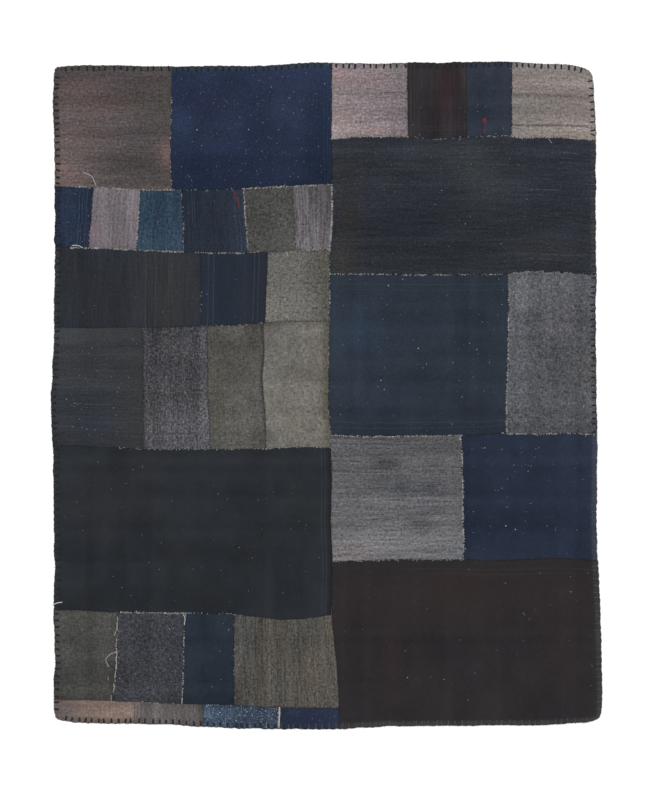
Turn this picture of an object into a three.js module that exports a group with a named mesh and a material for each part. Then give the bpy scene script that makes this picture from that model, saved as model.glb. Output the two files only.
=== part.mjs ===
import * as THREE from 'three';
import { mergeVertices } from 'three/addons/utils/BufferGeometryUtils.js';

// A patchwork kilim rug, lying flat and seen from above: thirty-four cloths cut from old
// hand-woven kilims and sewn edge to edge, with the rug's outer edge turned under as a hem.
// Millimetres. X runs across the rug, Y from its foot to its head, Z up from the floor.
// Each cloth is one closed solid. Its outline follows the seams that bound it, its underside
// is flat on the floor, and its top carries the hem, the drawn-in seams and the main creases.

const CLOTH_THICKNESS = 3;
const SEAM_GAP = 0.3;
const WOOL_ROUGHNESS = 0.95;

// Every line is taken up at even stations, so that both cloths at a seam share its corners.
const STATION = 80;
const CLOSEST_GRID_LINES = 3.5;
const CORNER_SEARCH_STEPS = 12;

// Height of the top above the plain cloth, by distance in from a cloth's own side.
const SEAM_PROFILE = [
  { inset: 0, rise: -0.9 },
  { inset: 10, rise: 0.25 },
  { inset: 45, rise: 0 },
];
const HEM_PROFILE = [
  { inset: 0, rise: -0.2 },
  { inset: 7, rise: 1.8 },
  { inset: 22, rise: 0.3 },
  { inset: 45, rise: 0 },
];
const GRID_INSETS = { seam: [10], hem: [7, 22] };

// The cloth never lies quite level: long, low swells across the whole rug.
const SWELL = { height: 0.3, acrossWave: 610, alongWave: 470 };

// How far the hem turns at each corner of the rug.
const CORNERS = {
  headLeft: { across: 20, along: 22 },
  headRight: { across: 30, along: 34 },
  footLeft: { across: 26, along: 30 },
  footRight: { across: 42, along: 56 },
};

// Outer edges, as the worn rug lies.
const LEFT_EDGE = [
  { y: 1219, x: -1002 },
  { y: 1124, x: -1008 },
  { y: 903, x: -1000 },
  { y: 406, x: -1002 },
  { y: 75, x: -1009 },
  { y: 1, x: -1015 },
  { y: -91, x: -1014 },
  { y: -201, x: -1008 },
  { y: -532, x: -1002 },
  { y: -698, x: -1001 },
  { y: -808, x: -1006 },
  { y: -919, x: -999 },
  { y: -1084, x: -1005 },
  { y: -1210, x: -1003 },
];
const RIGHT_EDGE = [
  { y: 1234, x: 984 },
  { y: 1124, x: 981 },
  { y: 1013, x: 987 },
  { y: 572, x: 988 },
  { y: 406, x: 991 },
  { y: 332, x: 986 },
  { y: 20, x: 991 },
  { y: -36, x: 988 },
  { y: -146, x: 995 },
  { y: -477, x: 990 },
  { y: -643, x: 996 },
  { y: -864, x: 1007 },
  { y: -1029, x: 1009 },
  { y: -1140, x: 1013 },
  { y: -1217, x: 1014 },
];
const HEAD_EDGE = [
  { x: -1005, y: 1210 },
  { x: -931, y: 1213 },
  { x: -762, y: 1214 },
  { x: -534, y: 1210 },
  { x: -173, y: 1214 },
  { x: -114, y: 1222 },
  { x: 261, y: 1220 },
  { x: 313, y: 1225 },
  { x: 394, y: 1222 },
  { x: 615, y: 1228 },
  { x: 747, y: 1224 },
  { x: 802, y: 1218 },
  { x: 880, y: 1218 },
  { x: 924, y: 1211 },
  { x: 968, y: 1201 },
  { x: 994, y: 1193 },
];
const FOOT_EDGE = [
  { x: -1005, y: -1199 },
  { x: -843, y: -1205 },
  { x: -666, y: -1209 },
  { x: -534, y: -1213 },
  { x: -445, y: -1220 },
  { x: -269, y: -1225 },
  { x: -136, y: -1228 },
  { x: 40, y: -1226 },
  { x: 121, y: -1222 },
  { x: 261, y: -1217 },
  { x: 784, y: -1212 },
  { x: 924, y: -1206 },
  { x: 1012, y: -1199 },
];

// The long seam that joins the left half to the right half.
const MIDDLE_SEAM = [
  { y: 1227, x: 18 },
  { y: 958, x: 17 },
  { y: 627, x: 19 },
  { y: 535, x: 11 },
  { y: 461, x: 6 },
  { y: 388, x: 10 },
  { y: 270, x: 10 },
  { y: 185, x: 6 },
  { y: -36, x: 6 },
  { y: -135, x: 12 },
  { y: -334, x: 18 },
  { y: -496, x: 14 },
  { y: -599, x: 22 },
  { y: -797, x: 17 },
  { y: -926, x: 29 },
  { y: -1029, x: 40 },
  { y: -1224, x: 46 },
];

// Seams between the rows of the left half, from the head down.
const LEFT_ROW_SEAMS = [
  [
    { x: -1008, y: 768 },
    { x: -935, y: 768 },
    { x: -799, y: 761 },
    { x: -651, y: 756 },
    { x: -401, y: 756 },
    { x: -283, y: 761 },
    { x: -173, y: 767 },
    { x: 22, y: 774 },
  ],
  [
    { x: -1012, y: 546 },
    { x: -968, y: 546 },
    { x: -891, y: 540 },
    { x: -769, y: 537 },
    { x: -651, y: 531 },
    { x: -504, y: 526 },
    { x: -449, y: 522 },
    { x: -320, y: 522 },
    { x: -210, y: 527 },
    { x: -26, y: 538 },
    { x: 18, y: 537 },
  ],
  [
    { x: -1012, y: 248 },
    { x: -872, y: 248 },
    { x: -504, y: 252 },
    { x: -357, y: 257 },
    { x: -283, y: 261 },
    { x: -217, y: 270 },
    { x: -99, y: 273 },
    { x: 18, y: 272 },
  ],
  [
    { x: -1019, y: -185 },
    { x: -898, y: -187 },
    { x: -791, y: -192 },
    { x: -681, y: -198 },
    { x: -239, y: -198 },
    { x: -129, y: -192 },
    { x: -85, y: -190 },
    { x: 18, y: -196 },
  ],
  [
    { x: -1012, y: -792 },
    { x: -909, y: -789 },
    { x: -828, y: -797 },
    { x: -504, y: -802 },
    { x: -350, y: -804 },
    { x: -287, y: -809 },
    { x: -239, y: -819 },
    { x: -173, y: -827 },
    { x: -103, y: -824 },
    { x: -48, y: -815 },
    { x: 18, y: -807 },
  ],
  [
    { x: -1012, y: -1118 },
    { x: -835, y: -1123 },
    { x: -504, y: -1136 },
    { x: -339, y: -1140 },
    { x: -202, y: -1147 },
    { x: -81, y: -1151 },
    { x: 48, y: -1149 },
  ],
];

// Seams between the rows of the right half, from the head down.
const RIGHT_ROW_SEAMS = [
  [
    { x: 11, y: 943 },
    { x: 48, y: 949 },
    { x: 294, y: 949 },
    { x: 361, y: 945 },
    { x: 482, y: 945 },
    { x: 570, y: 954 },
    { x: 644, y: 954 },
    { x: 710, y: 949 },
    { x: 913, y: 946 },
    { x: 994, y: 938 },
  ],
  [
    { x: 4, y: 445 },
    { x: 213, y: 446 },
    { x: 324, y: 442 },
    { x: 438, y: 442 },
    { x: 637, y: 445 },
    { x: 681, y: 454 },
    { x: 821, y: 454 },
    { x: 938, y: 446 },
    { x: 997, y: 440 },
  ],
  [
    { x: 4, y: -147 },
    { x: 121, y: -152 },
    { x: 213, y: -152 },
    { x: 416, y: -150 },
    { x: 563, y: -145 },
    { x: 644, y: -139 },
    { x: 747, y: -145 },
    { x: 924, y: -139 },
    { x: 1001, y: -146 },
  ],
  [
    { x: 15, y: -615 },
    { x: 129, y: -607 },
    { x: 213, y: -605 },
    { x: 500, y: -605 },
    { x: 655, y: -609 },
    { x: 784, y: -602 },
    { x: 887, y: -601 },
    { x: 1005, y: -613 },
  ],
];

// Creases pressed into two of the cloths: soft ridges (up) or troughs (down).
// A level crease runs across at one height, an upright one runs from foot to head.
const CREASES = [
  { cloth: 'pink_beige', runs: 'level', at: 1103, reach: 16, rise: 1.3 },
  { cloth: 'pink_beige', runs: 'level', at: 1004, reach: 18, rise: 1.6 },
  { cloth: 'bark_brown', runs: 'upright', at: -166, reach: 22, rise: -1.2 },
];

// A smooth curve through the measured rows, carried on straight past its two ends.
function smoothThrough(rows, along, across) {
  const knots = [...rows].sort((first, second) => first[along] - second[along]);
  const slopes = knots.map((knot, index) => {
    const before = knots[Math.max(index - 1, 0)];
    const after = knots[Math.min(index + 1, knots.length - 1)];
    return (after[across] - before[across]) / (after[along] - before[along]);
  });
  return (place) => {
    const beyond = knots.findIndex((knot) => knot[along] > place);
    const index = beyond < 0 ? knots.length - 2 : Math.max(beyond - 1, 0);
    const start = knots[index];
    const end = knots[index + 1];
    const span = end[along] - start[along];
    const share = (place - start[along]) / span;
    if (share < 0) return start[across] + slopes[index] * (place - start[along]);
    if (share > 1) return end[across] + slopes[index + 1] * (place - end[along]);
    const ease = share * share * (3 - 2 * share);
    const leave = share * (1 - share) * (1 - share) * span * slopes[index];
    const arrive = share * share * (share - 1) * span * slopes[index + 1];
    return start[across] * (1 - ease) + end[across] * ease + leave + arrive;
  };
}

// The line as sewn: straight between its stations, and the same for both of its cloths.
function sewnLine(rows, along, across, kind) {
  const smooth = smoothThrough(rows, along, across);
  const place = (where) => {
    const station = Math.floor(where / STATION) * STATION;
    return THREE.MathUtils.mapLinear(
      where, station, station + STATION, smooth(station), smooth(station + STATION));
  };
  return { place, kind };
}

const levelLine = (rows, kind = 'seam') => sewnLine(rows, 'x', 'y', kind);
const uprightLine = (rows, kind = 'seam') => sewnLine(rows, 'y', 'x', kind);

const leftEdge = uprightLine(LEFT_EDGE, 'hem');
const rightEdge = uprightLine(RIGHT_EDGE, 'hem');
const headEdge = levelLine(HEAD_EDGE, 'hem');
const footEdge = levelLine(FOOT_EDGE, 'hem');
const middle = uprightLine(MIDDLE_SEAM);
const leftSeams = LEFT_ROW_SEAMS.map((rows) => levelLine(rows));
const rightSeams = RIGHT_ROW_SEAMS.map((rows) => levelLine(rows));

// One row of cloths: its upper and lower lines, its cloths from left to right, and the upright
// seams between them.
const ROWS = [
  {
    head: headEdge,
    foot: leftSeams[0],
    start: leftEdge,
    end: middle,
    seams: [[{ y: 1212, x: -569 }, { y: 940, x: -576 }, { y: 848, x: -576 }, { y: 756, x: -572 }]],
    cloths: [
      { name: 'rose_brown', colour: 0x5c4e4c, corner: 'headLeft' },
      { name: 'linty_navy', colour: 0x2b3144 },
    ],
  },
  {
    head: leftSeams[0],
    foot: leftSeams[1],
    start: leftEdge,
    end: middle,
    seams: [
      [{ y: 763, x: -859 }, { y: 664, x: -867 }, { y: 542, x: -876 }],
      [{ y: 763, x: -687 }, { y: 664, x: -693 }, { y: 542, x: -703 }],
      [{ y: 756, x: -534 }, { y: 682, x: -530 }, { y: 527, x: -528 }],
      [{ y: 759, x: -308 }, { y: 675, x: -302 }, { y: 572, x: -292 }, { y: 520, x: -298 }],
      [{ y: 763, x: -125 }, { y: 645, x: -118 }, { y: 527, x: -114 }],
    ],
    cloths: [
      { name: 'midnight_blue', colour: 0x2c3242 },
      { name: 'lavender_grey', colour: 0x706769 },
      { name: 'teal_denim', colour: 0x2f4052 },
      { name: 'slate_navy', colour: 0x2b313c },
      { name: 'olive_grey', colour: 0x4c4b46 },
      { name: 'striped_mauve', colour: 0x6c676a },
    ],
  },
  {
    head: leftSeams[1],
    foot: leftSeams[2],
    start: leftEdge,
    end: middle,
    seams: [
      [{ y: 527, x: -464 }, { y: 251, x: -464 }],
      [{ y: 527, x: -217 }, { y: 435, x: -221 }, { y: 351, x: -224 }, { y: 266, x: -227 }],
    ],
    cloths: [
      { name: 'blue_black', colour: 0x2c2f35 },
      { name: 'lined_navy', colour: 0x272d3a },
      { name: 'warm_grey', colour: 0x706d65 },
    ],
  },
  {
    head: leftSeams[2],
    foot: leftSeams[3],
    start: leftEdge,
    end: middle,
    seams: [
      [{ y: 251, x: -679 }, { y: 167, x: -676 }, { y: -198, x: -676 }],
      [{ y: 255, x: -440 }, { y: 20, x: -437 }, { y: -198, x: -429 }],
      [
        { y: 266, x: -233 },
        { y: 115, x: -231 },
        { y: 64, x: -240 },
        { y: 12, x: -236 },
        { y: -39, x: -227 },
        { y: -198, x: -226 },
      ],
    ],
    cloths: [
      { name: 'charcoal', colour: 0x393a3e },
      { name: 'flecked_mauve', colour: 0x4a494f },
      { name: 'moss_brown', colour: 0x53504a },
      { name: 'pale_stone', colour: 0x78736c },
    ],
  },
  {
    head: leftSeams[3],
    foot: leftSeams[4],
    start: leftEdge,
    end: middle,
    seams: [],
    cloths: [{ name: 'long_ink_black', colour: 0x2a2c30 }],
  },
  {
    head: leftSeams[4],
    foot: leftSeams[5],
    start: leftEdge,
    end: middle,
    seams: [
      [{ y: -794, x: -770 }, { y: -864, x: -774 }, { y: -1033, x: -777 }, { y: -1129, x: -796 }],
      [{ y: -801, x: -520 }, { y: -845, x: -527 }, { y: -1029, x: -529 }, { y: -1136, x: -534 }],
      [{ y: -805, x: -342 }, { y: -1136, x: -340 }],
    ],
    cloths: [
      { name: 'dark_olive', colour: 0x42423e },
      { name: 'heather_grey', colour: 0x3c3d45 },
      { name: 'plain_navy', colour: 0x262d3a },
      { name: 'bark_brown', colour: 0x524d45 },
    ],
  },
  {
    head: leftSeams[5],
    foot: footEdge,
    start: leftEdge,
    end: middle,
    seams: [
      [{ y: -1121, x: -707 }, { y: -1210, x: -707 }],
      [{ y: -1132, x: -457 }, { y: -1221, x: -453 }],
      [{ y: -1143, x: -173 }, { y: -1228, x: -179 }],
    ],
    cloths: [
      { name: 'pink_brown', colour: 0x7d6a64, corner: 'footLeft' },
      { name: 'striped_grey', colour: 0x69645f },
      { name: 'flecked_denim', colour: 0x3e4e62 },
      { name: 'violet_navy', colour: 0x28304b },
    ],
  },
  {
    head: headEdge,
    foot: rightSeams[0],
    start: middle,
    end: rightEdge,
    seams: [
      [{ y: 1227, x: 296 }, { y: 947, x: 298 }],
      [{ y: 1230, x: 513 }, { y: 947, x: 513 }],
      [{ y: 1230, x: 682 }, { y: 947, x: 680 }],
    ],
    cloths: [
      { name: 'pink_grey', colour: 0x877b7a },
      { name: 'oxblood_brown', colour: 0x312c2d },
      { name: 'knotted_navy', colour: 0x2a303f },
      { name: 'pink_beige', colour: 0x8c827d, corner: 'headRight' },
    ],
  },
  {
    head: rightSeams[0],
    foot: rightSeams[1],
    start: middle,
    end: rightEdge,
    seams: [],
    cloths: [{ name: 'worn_charcoal', colour: 0x2e3237 }],
  },
  {
    head: rightSeams[1],
    foot: rightSeams[2],
    start: middle,
    end: rightEdge,
    seams: [
      [
        { y: 454, x: 669 },
        { y: 226, x: 669 },
        { y: 141, x: 667 },
        { y: 56, x: 663 },
        { y: -69, x: 658 },
        { y: -146, x: 661 },
      ],
    ],
    cloths: [
      { name: 'large_teal_navy', colour: 0x2e353f },
      { name: 'ash_grey', colour: 0x5c5c5f },
    ],
  },
  {
    head: rightSeams[2],
    foot: rightSeams[3],
    start: middle,
    end: rightEdge,
    seams: [[{ y: -142, x: 491 }, { y: -245, x: 497 }, { y: -407, x: 500 }, { y: -610, x: 503 }]],
    cloths: [
      { name: 'streaked_grey', colour: 0x6c6c6e },
      { name: 'deep_navy', colour: 0x262c40 },
    ],
  },
  {
    head: rightSeams[3],
    foot: footEdge,
    start: middle,
    end: rightEdge,
    seams: [],
    cloths: [{ name: 'large_black_brown', colour: 0x2f2a2a, corner: 'footRight' }],
  },
];

// A side of one cloth stands half the gap inside its seam. A hem lies on the rug's edge itself.
function sideOf(line, inwards) {
  const inset = line.kind === 'seam' ? (inwards * SEAM_GAP) / 2 : 0;
  return { kind: line.kind, place: (where) => line.place(where) + inset };
}

// Where a level side crosses an upright one. Both are nearly straight, so the search settles fast.
function cornerWhere(level, upright) {
  const corner = new THREE.Vector2();
  for (let step = 0; step < CORNER_SEARCH_STEPS; step += 1) {
    corner.x = upright.place(corner.y);
    corner.y = level.place(corner.x);
  }
  return corner;
}

function stationsBetween(low, high) {
  const stations = [];
  for (let at = Math.ceil(low / STATION) * STATION; at < high; at += STATION) stations.push(at);
  return stations;
}

// Grid lines across a cloth. Each holds its share of the way along the two sides that it joins.
// Stations come first, because both cloths at a seam need them, and closer lines give way.
function gridLines(near, far, insets, extras) {
  const length = near.end - near.start;
  const shareOn = (side, at) => (at - side.start) / (side.end - side.start);
  const onSide = (share) => share > 0 && share < 1;
  const lines = [{ near: 0, far: 0 }, { near: 1, far: 1 }];
  const low = Math.min(near.start, far.start);
  const high = Math.max(near.end, far.end);
  for (const at of stationsBetween(low, high)) {
    const onNear = shareOn(near, at);
    const onFar = shareOn(far, at);
    if (onSide(onNear) && onSide(onFar)) lines.push({ near: onNear, far: onFar });
    else if (onSide(onNear)) lines.push({ near: onNear, far: onNear });
    else if (onSide(onFar)) lines.push({ near: onFar, far: onFar });
  }
  const middleOf = (line) => (line.near + line.far) / 2;
  const wanted = [
    ...insets.start.map((inset) => inset / length),
    ...insets.end.map((inset) => 1 - inset / length),
    ...extras.map((at) => shareOn(near, at)),
  ];
  for (const share of wanted) {
    const tooClose = (line) => Math.abs(middleOf(line) - share) * length < CLOSEST_GRID_LINES;
    if (!lines.some(tooClose)) lines.push({ near: share, far: share });
  }
  return lines.sort((first, second) => middleOf(first) - middleOf(second));
}

// The profile's height at a distance in from the side, level past its last row.
function riseAt(profile, distance) {
  const last = profile[profile.length - 1];
  if (distance >= last.inset) return last.rise;
  const next = profile.findIndex((row) => row.inset > distance);
  const from = profile[Math.max(next - 1, 0)];
  const to = profile[Math.max(next, 1)];
  return THREE.MathUtils.mapLinear(
    Math.max(distance, 0), from.inset, to.inset, from.rise, to.rise);
}

function creaseRise(cloth, x, y) {
  let rise = 0;
  for (const crease of CREASES) {
    if (crease.cloth !== cloth.name) continue;
    const away = Math.abs((crease.runs === 'level' ? y : x) - crease.at) / crease.reach;
    if (away < 1) rise += crease.rise * (0.5 + 0.5 * Math.cos(Math.PI * away));
  }
  return rise;
}

// Turns the square corner of the hem into a quarter of an ellipse and leaves the rest alone.
function turnCorner(point, corner, turn, inward) {
  const across = 1 - ((point.x - corner.x) * inward.x) / turn.across;
  const along = 1 - ((point.y - corner.y) * inward.y) / turn.along;
  if (across <= 0 || along <= 0) return;
  point.x = corner.x + inward.x * turn.across * (1 - across * Math.sqrt(1 - (along * along) / 2));
  point.y = corner.y + inward.y * turn.along * (1 - along * Math.sqrt(1 - (across * across) / 2));
}

function clothGeometry(cloth, row, start, end) {
  const west = sideOf(start, 1);
  const east = sideOf(end, -1);
  const south = sideOf(row.foot, 1);
  const north = sideOf(row.head, -1);
  const southWest = cornerWhere(south, west);
  const southEast = cornerWhere(south, east);
  const northWest = cornerWhere(north, west);
  const northEast = cornerWhere(north, east);
  const creasesThat = (runs) => CREASES
    .filter((crease) => crease.cloth === cloth.name && crease.runs === runs)
    .flatMap((crease) => [crease.at - crease.reach, crease.at, crease.at + crease.reach]);
  const columns = gridLines(
    { start: southWest.x, end: southEast.x },
    { start: northWest.x, end: northEast.x },
    { start: GRID_INSETS[west.kind], end: GRID_INSETS[east.kind] },
    creasesThat('upright'));
  const rows = gridLines(
    { start: southWest.y, end: northWest.y },
    { start: southEast.y, end: northEast.y },
    { start: GRID_INSETS[south.kind], end: GRID_INSETS[north.kind] },
    creasesThat('level'));

  // A point of the cloth is blended from the four sides, so the grid meets each side exactly.
  const pointAt = (column, level) => {
    const v0 = (level.near + level.far) / 2;
    const u = THREE.MathUtils.lerp(column.near, column.far, v0);
    const v = THREE.MathUtils.lerp(level.near, level.far, u);
    const footX = THREE.MathUtils.lerp(southWest.x, southEast.x, column.near);
    const headX = THREE.MathUtils.lerp(northWest.x, northEast.x, column.far);
    const startY = THREE.MathUtils.lerp(southWest.y, northWest.y, level.near);
    const endY = THREE.MathUtils.lerp(southEast.y, northEast.y, level.far);
    return new THREE.Vector2()
      .addScaledVector(new THREE.Vector2(footX, south.place(footX)), 1 - v)
      .addScaledVector(new THREE.Vector2(headX, north.place(headX)), v)
      .addScaledVector(new THREE.Vector2(west.place(startY), startY), 1 - u)
      .addScaledVector(new THREE.Vector2(east.place(endY), endY), u)
      .addScaledVector(southWest, -(1 - u) * (1 - v))
      .addScaledVector(southEast, -u * (1 - v))
      .addScaledVector(northWest, -(1 - u) * v)
      .addScaledVector(northEast, -u * v);
  };

  // Seams that meet draw the cloth in together. Hems that meet are no higher than one hem.
  const topAt = ({ x, y }) => {
    const sides = [
      [west.kind, x - west.place(y)],
      [east.kind, east.place(y) - x],
      [south.kind, y - south.place(x)],
      [north.kind, north.place(x) - y],
    ];
    const risesOf = (kind, profile) => sides
      .filter(([sideKind]) => sideKind === kind)
      .map(([, distance]) => riseAt(profile, distance));
    const drawnIn = risesOf('seam', SEAM_PROFILE).reduce((total, rise) => total + rise, 0);
    const turnedUnder = Math.max(0, ...risesOf('hem', HEM_PROFILE));
    const swell = SWELL.height * Math.sin(x / SWELL.acrossWave) * Math.cos(y / SWELL.alongWave);
    return CLOTH_THICKNESS + drawnIn + turnedUnder + creaseRise(cloth, x, y) + swell;
  };

  const turns = {
    headLeft: [northWest, new THREE.Vector2(1, -1)],
    headRight: [northEast, new THREE.Vector2(-1, -1)],
    footLeft: [southWest, new THREE.Vector2(1, 1)],
    footRight: [southEast, new THREE.Vector2(-1, 1)],
  };

  const box = new THREE.BoxGeometry(1, 1, 1, columns.length - 1, rows.length - 1, 1);
  box.deleteAttribute('normal');
  box.deleteAttribute('uv');
  const geometry = mergeVertices(box);
  const position = geometry.getAttribute('position');
  for (let index = 0; index < position.count; index += 1) {
    const column = columns[Math.round((position.getX(index) + 0.5) * (columns.length - 1))];
    const level = rows[Math.round((position.getY(index) + 0.5) * (rows.length - 1))];
    const point = pointAt(column, level);
    const height = position.getZ(index) > 0 ? topAt(point) : 0;
    if (cloth.corner) {
      const [corner, inward] = turns[cloth.corner];
      turnCorner(point, corner, CORNERS[cloth.corner], inward);
    }
    position.setXYZ(index, point.x, point.y, height);
  }
  geometry.computeVertexNormals();
  return geometry;
}

function buildCloth(cloth, row, start, end) {
  const material = new THREE.MeshStandardMaterial({
    color: cloth.colour,
    roughness: WOOL_ROUGHNESS,
    metalness: 0,
  });
  const mesh = new THREE.Mesh(clothGeometry(cloth, row, start, end), material);
  mesh.name = cloth.name;
  return mesh;
}

function buildRow(row) {
  const group = new THREE.Group();
  const uprights = [row.start, ...row.seams.map((rows) => uprightLine(rows)), row.end];
  row.cloths.forEach((cloth, index) => {
    group.add(buildCloth(cloth, row, uprights[index], uprights[index + 1]));
  });
  return group;
}

// The rows are built where they were measured, then moved so that their middle is the origin.
function buildRug() {
  const rug = new THREE.Group();
  rug.name = 'patchwork_kilim_rug';
  ROWS.forEach((row) => rug.add(buildRow(row)));
  const extent = new THREE.Box3().setFromObject(rug);
  const centre = extent.getCenter(new THREE.Vector3());
  rug.position.set(-centre.x, -centre.y, 0);
  return rug;
}

export default buildRug();
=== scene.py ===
"""Looks of a patchwork kilim rug that lies flat on a pale floor.

Thirty-four hand-woven cloths are sewn edge to edge. Each one is rebuilt here as a fine sheet on the
outline of its own solid, with its hem, drawn-in seams and creases, and dressed as worn wool. The
overcast edge yarn, the seam stitches, the fray, the loose threads, the lint and a mending knot are
sewn on as pieces of their own. Lengths are metres unless a name says otherwise.
"""

from __future__ import annotations

import logging
import math
from dataclasses import dataclass, field
from enum import Enum
from typing import Iterable, Sequence, Union

import bmesh
import bpy
import numpy as np
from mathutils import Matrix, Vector
from mathutils.bvhtree import BVHTree
from mathutils.kdtree import KDTree

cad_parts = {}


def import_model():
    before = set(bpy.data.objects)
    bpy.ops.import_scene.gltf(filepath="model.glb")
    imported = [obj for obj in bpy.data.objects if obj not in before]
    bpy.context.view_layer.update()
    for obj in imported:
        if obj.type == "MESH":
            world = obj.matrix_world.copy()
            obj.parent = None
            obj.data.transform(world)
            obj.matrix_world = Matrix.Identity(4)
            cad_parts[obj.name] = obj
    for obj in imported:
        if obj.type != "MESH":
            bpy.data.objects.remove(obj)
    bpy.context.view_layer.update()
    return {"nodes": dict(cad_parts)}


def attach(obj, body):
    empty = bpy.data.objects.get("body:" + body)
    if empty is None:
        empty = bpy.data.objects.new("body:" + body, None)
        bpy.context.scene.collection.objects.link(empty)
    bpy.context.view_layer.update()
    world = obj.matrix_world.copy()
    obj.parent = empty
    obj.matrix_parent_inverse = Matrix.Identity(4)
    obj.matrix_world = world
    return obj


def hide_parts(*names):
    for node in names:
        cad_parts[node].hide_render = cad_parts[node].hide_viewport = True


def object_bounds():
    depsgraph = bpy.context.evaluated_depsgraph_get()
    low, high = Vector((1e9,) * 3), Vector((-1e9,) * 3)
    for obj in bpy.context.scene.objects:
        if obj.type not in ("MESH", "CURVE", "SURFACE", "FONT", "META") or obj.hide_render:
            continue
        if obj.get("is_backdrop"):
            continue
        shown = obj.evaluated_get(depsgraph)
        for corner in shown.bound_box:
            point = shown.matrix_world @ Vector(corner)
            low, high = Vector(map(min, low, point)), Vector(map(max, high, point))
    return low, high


LOG = logging.getLogger("kilim")

Array, Piece = np.ndarray, bpy.types.Object
Colour = tuple[float, float, float]
Point = tuple[float, float, float]
Cells = dict[bmesh.types.BMVert, tuple[int, int]]

BODY = "root"
MM = 0.001

FRAME_PIXELS = (654, 800)
METRES_PER_PIXEL = 3.68 * MM
RUG_CENTRE_PIXEL = (326.64, 395.3)

STUDIO_LIGHT = 1.15
WOOL_GLARE = 0.004
WOOL_TONES = (0.004, 0.9)
SCREEN_KNEE, SCREEN_SLOPE = 0.04045, 12.92
SCREEN_OFFSET, SCREEN_POWER = 0.055, 2.4


def dyed(colours: Union[Colour, Array]) -> Array:
    """Find the wool's own colour from how it looks on a screen in the studio's light.

    Args:
        colours: red, green and blue of 0 to 255, one colour or an array of them.

    Returns:
        The wool's colours in linear light, each with 1 for its alpha.
    """
    shares = np.clip(np.asarray(colours, float) / 255.0, 0.0, 1.0)
    bright = ((shares + SCREEN_OFFSET) / (1 + SCREEN_OFFSET)) ** SCREEN_POWER
    light = np.where(shares > SCREEN_KNEE, bright, shares / SCREEN_SLOPE)
    wool = np.clip((light - WOOL_GLARE) / STUDIO_LIGHT, *WOOL_TONES)
    return np.concatenate([wool, np.ones((*wool.shape[:-1], 1))], axis=-1)


def from_pixel(across: float, down: float) -> tuple[float, float]:
    """Turn a place in the photo's frame into metres from the rug's middle."""
    x, y = across - RUG_CENTRE_PIXEL[0], RUG_CENTRE_PIXEL[1] - down
    return x * METRES_PER_PIXEL, y * METRES_PER_PIXEL


def smooth_line(points: Array, steps: int = 6) -> Array:
    """Run a smooth line through points.

    Args:
        points: one row of two numbers each.
        steps: how many parts each span is cut into.

    Returns:
        The line's points, with the first and last of the given ones at its ends.
    """
    ends = [2 * points[0] - points[1], *points, 2 * points[-1] - points[-2]]
    line = [points[0]]
    for before, start, end, after in zip(ends, ends[1:], ends[2:], ends[3:]):
        for step in range(1, steps + 1):
            t = step / steps
            bend = (end - before) * t + (2 * before - 5 * start + 4 * end - after) * t**2
            bend += (3 * start - before - 3 * end + after) * t**3
            line.append(start + bend / 2)
    return np.array(line)


def placed(name: str, data: bpy.types.ID) -> Piece:
    """Put new data into the scene as an object of its own.

    Args:
        name: the object's name.
        data: a mesh, curve, light or camera.

    Returns:
        The object.
    """
    piece = bpy.data.objects.new(name, data)
    bpy.context.scene.collection.objects.link(piece)
    return piece


class SoftNoise:
    """Smooth noise from -1 to 1 that is the same in every run."""

    SIZE = 256
    LAYERS, LAYER_SHIFT, LAYER_FADE, LAYER_SUM = 4, 7.3, 0.62, 1.9

    def __init__(self, seed: int) -> None:
        """Draw the lattice of values that the noise runs between."""
        self.lattice = np.random.default_rng(seed).uniform(-1.0, 1.0, (self.SIZE, self.SIZE))

    def at(self, x: Array, y: Array, wave_x: float, wave_y: float) -> Array:
        """Read the noise at many places.

        Args:
            x: places across, in metres.
            y: places along, in metres.
            wave_x: distance between lattice values across.
            wave_y: distance between lattice values along.

        Returns:
            One value from -1 to 1 for each place.
        """
        grid_x, grid_y = x / wave_x, y / wave_y
        low_x, low_y = np.floor(grid_x), np.floor(grid_y)
        share_x, share_y = grid_x - low_x, grid_y - low_y
        share_x = share_x * share_x * (3 - 2 * share_x)
        share_y = share_y * share_y * (3 - 2 * share_y)
        column, row = low_x.astype(int) % self.SIZE, low_y.astype(int) % self.SIZE
        right, above = (column + 1) % self.SIZE, (row + 1) % self.SIZE
        low = self.lattice[row, column] * (1 - share_x) + self.lattice[row, right] * share_x
        high = self.lattice[above, column] * (1 - share_x) + self.lattice[above, right] * share_x
        return low * (1 - share_y) + high * share_y

    def layered(self, x: Array, y: Array, wave_x: float, wave_y: float) -> Array:
        """Add up layers of the noise, each half as wide and weaker than the last.

        Args:
            x: places across, in metres.
            y: places along, in metres.
            wave_x: distance between lattice values across, in the widest layer.
            wave_y: distance between lattice values along, in the widest layer.

        Returns:
            One value of about -1 to 1 for each place.
        """
        shifts = [self.LAYER_SHIFT * layer for layer in range(self.LAYERS)]
        return sum(
            self.at(x + shift, y - shift, wave_x / 2**layer, wave_y / 2**layer) * self.LAYER_FADE**layer
            for layer, shift in enumerate(shifts)
        ) / self.LAYER_SUM


class Side(Enum):
    """The four sides of a cloth, seen from above. Each one's value is the way in from it."""

    FOOT = (0, 1)
    HEAD = (0, -1)
    LEFT = (1, 0)
    RIGHT = (-1, 0)

    @property
    def level(self) -> bool:
        """Whether the side runs across the rug."""
        return self in (Side.FOOT, Side.HEAD)


FOOT, HEAD, LEFT, RIGHT = Side


class Weave(Enum):
    """Which way the yarn's unevenness runs in a cloth."""

    ACROSS = "across"
    UP = "up"
    EVEN = "even"


@dataclass(frozen=True)
class Stain:
    """A soft blotch of another tone, mostly a stained patch; a few are painted shade along a crease or a
    seam. Places are shares of the cloth from its left foot corner.
    """

    across: float
    up: float
    reach_across: float
    reach_up: float
    colour: Colour
    strength: float = 0.5


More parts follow.
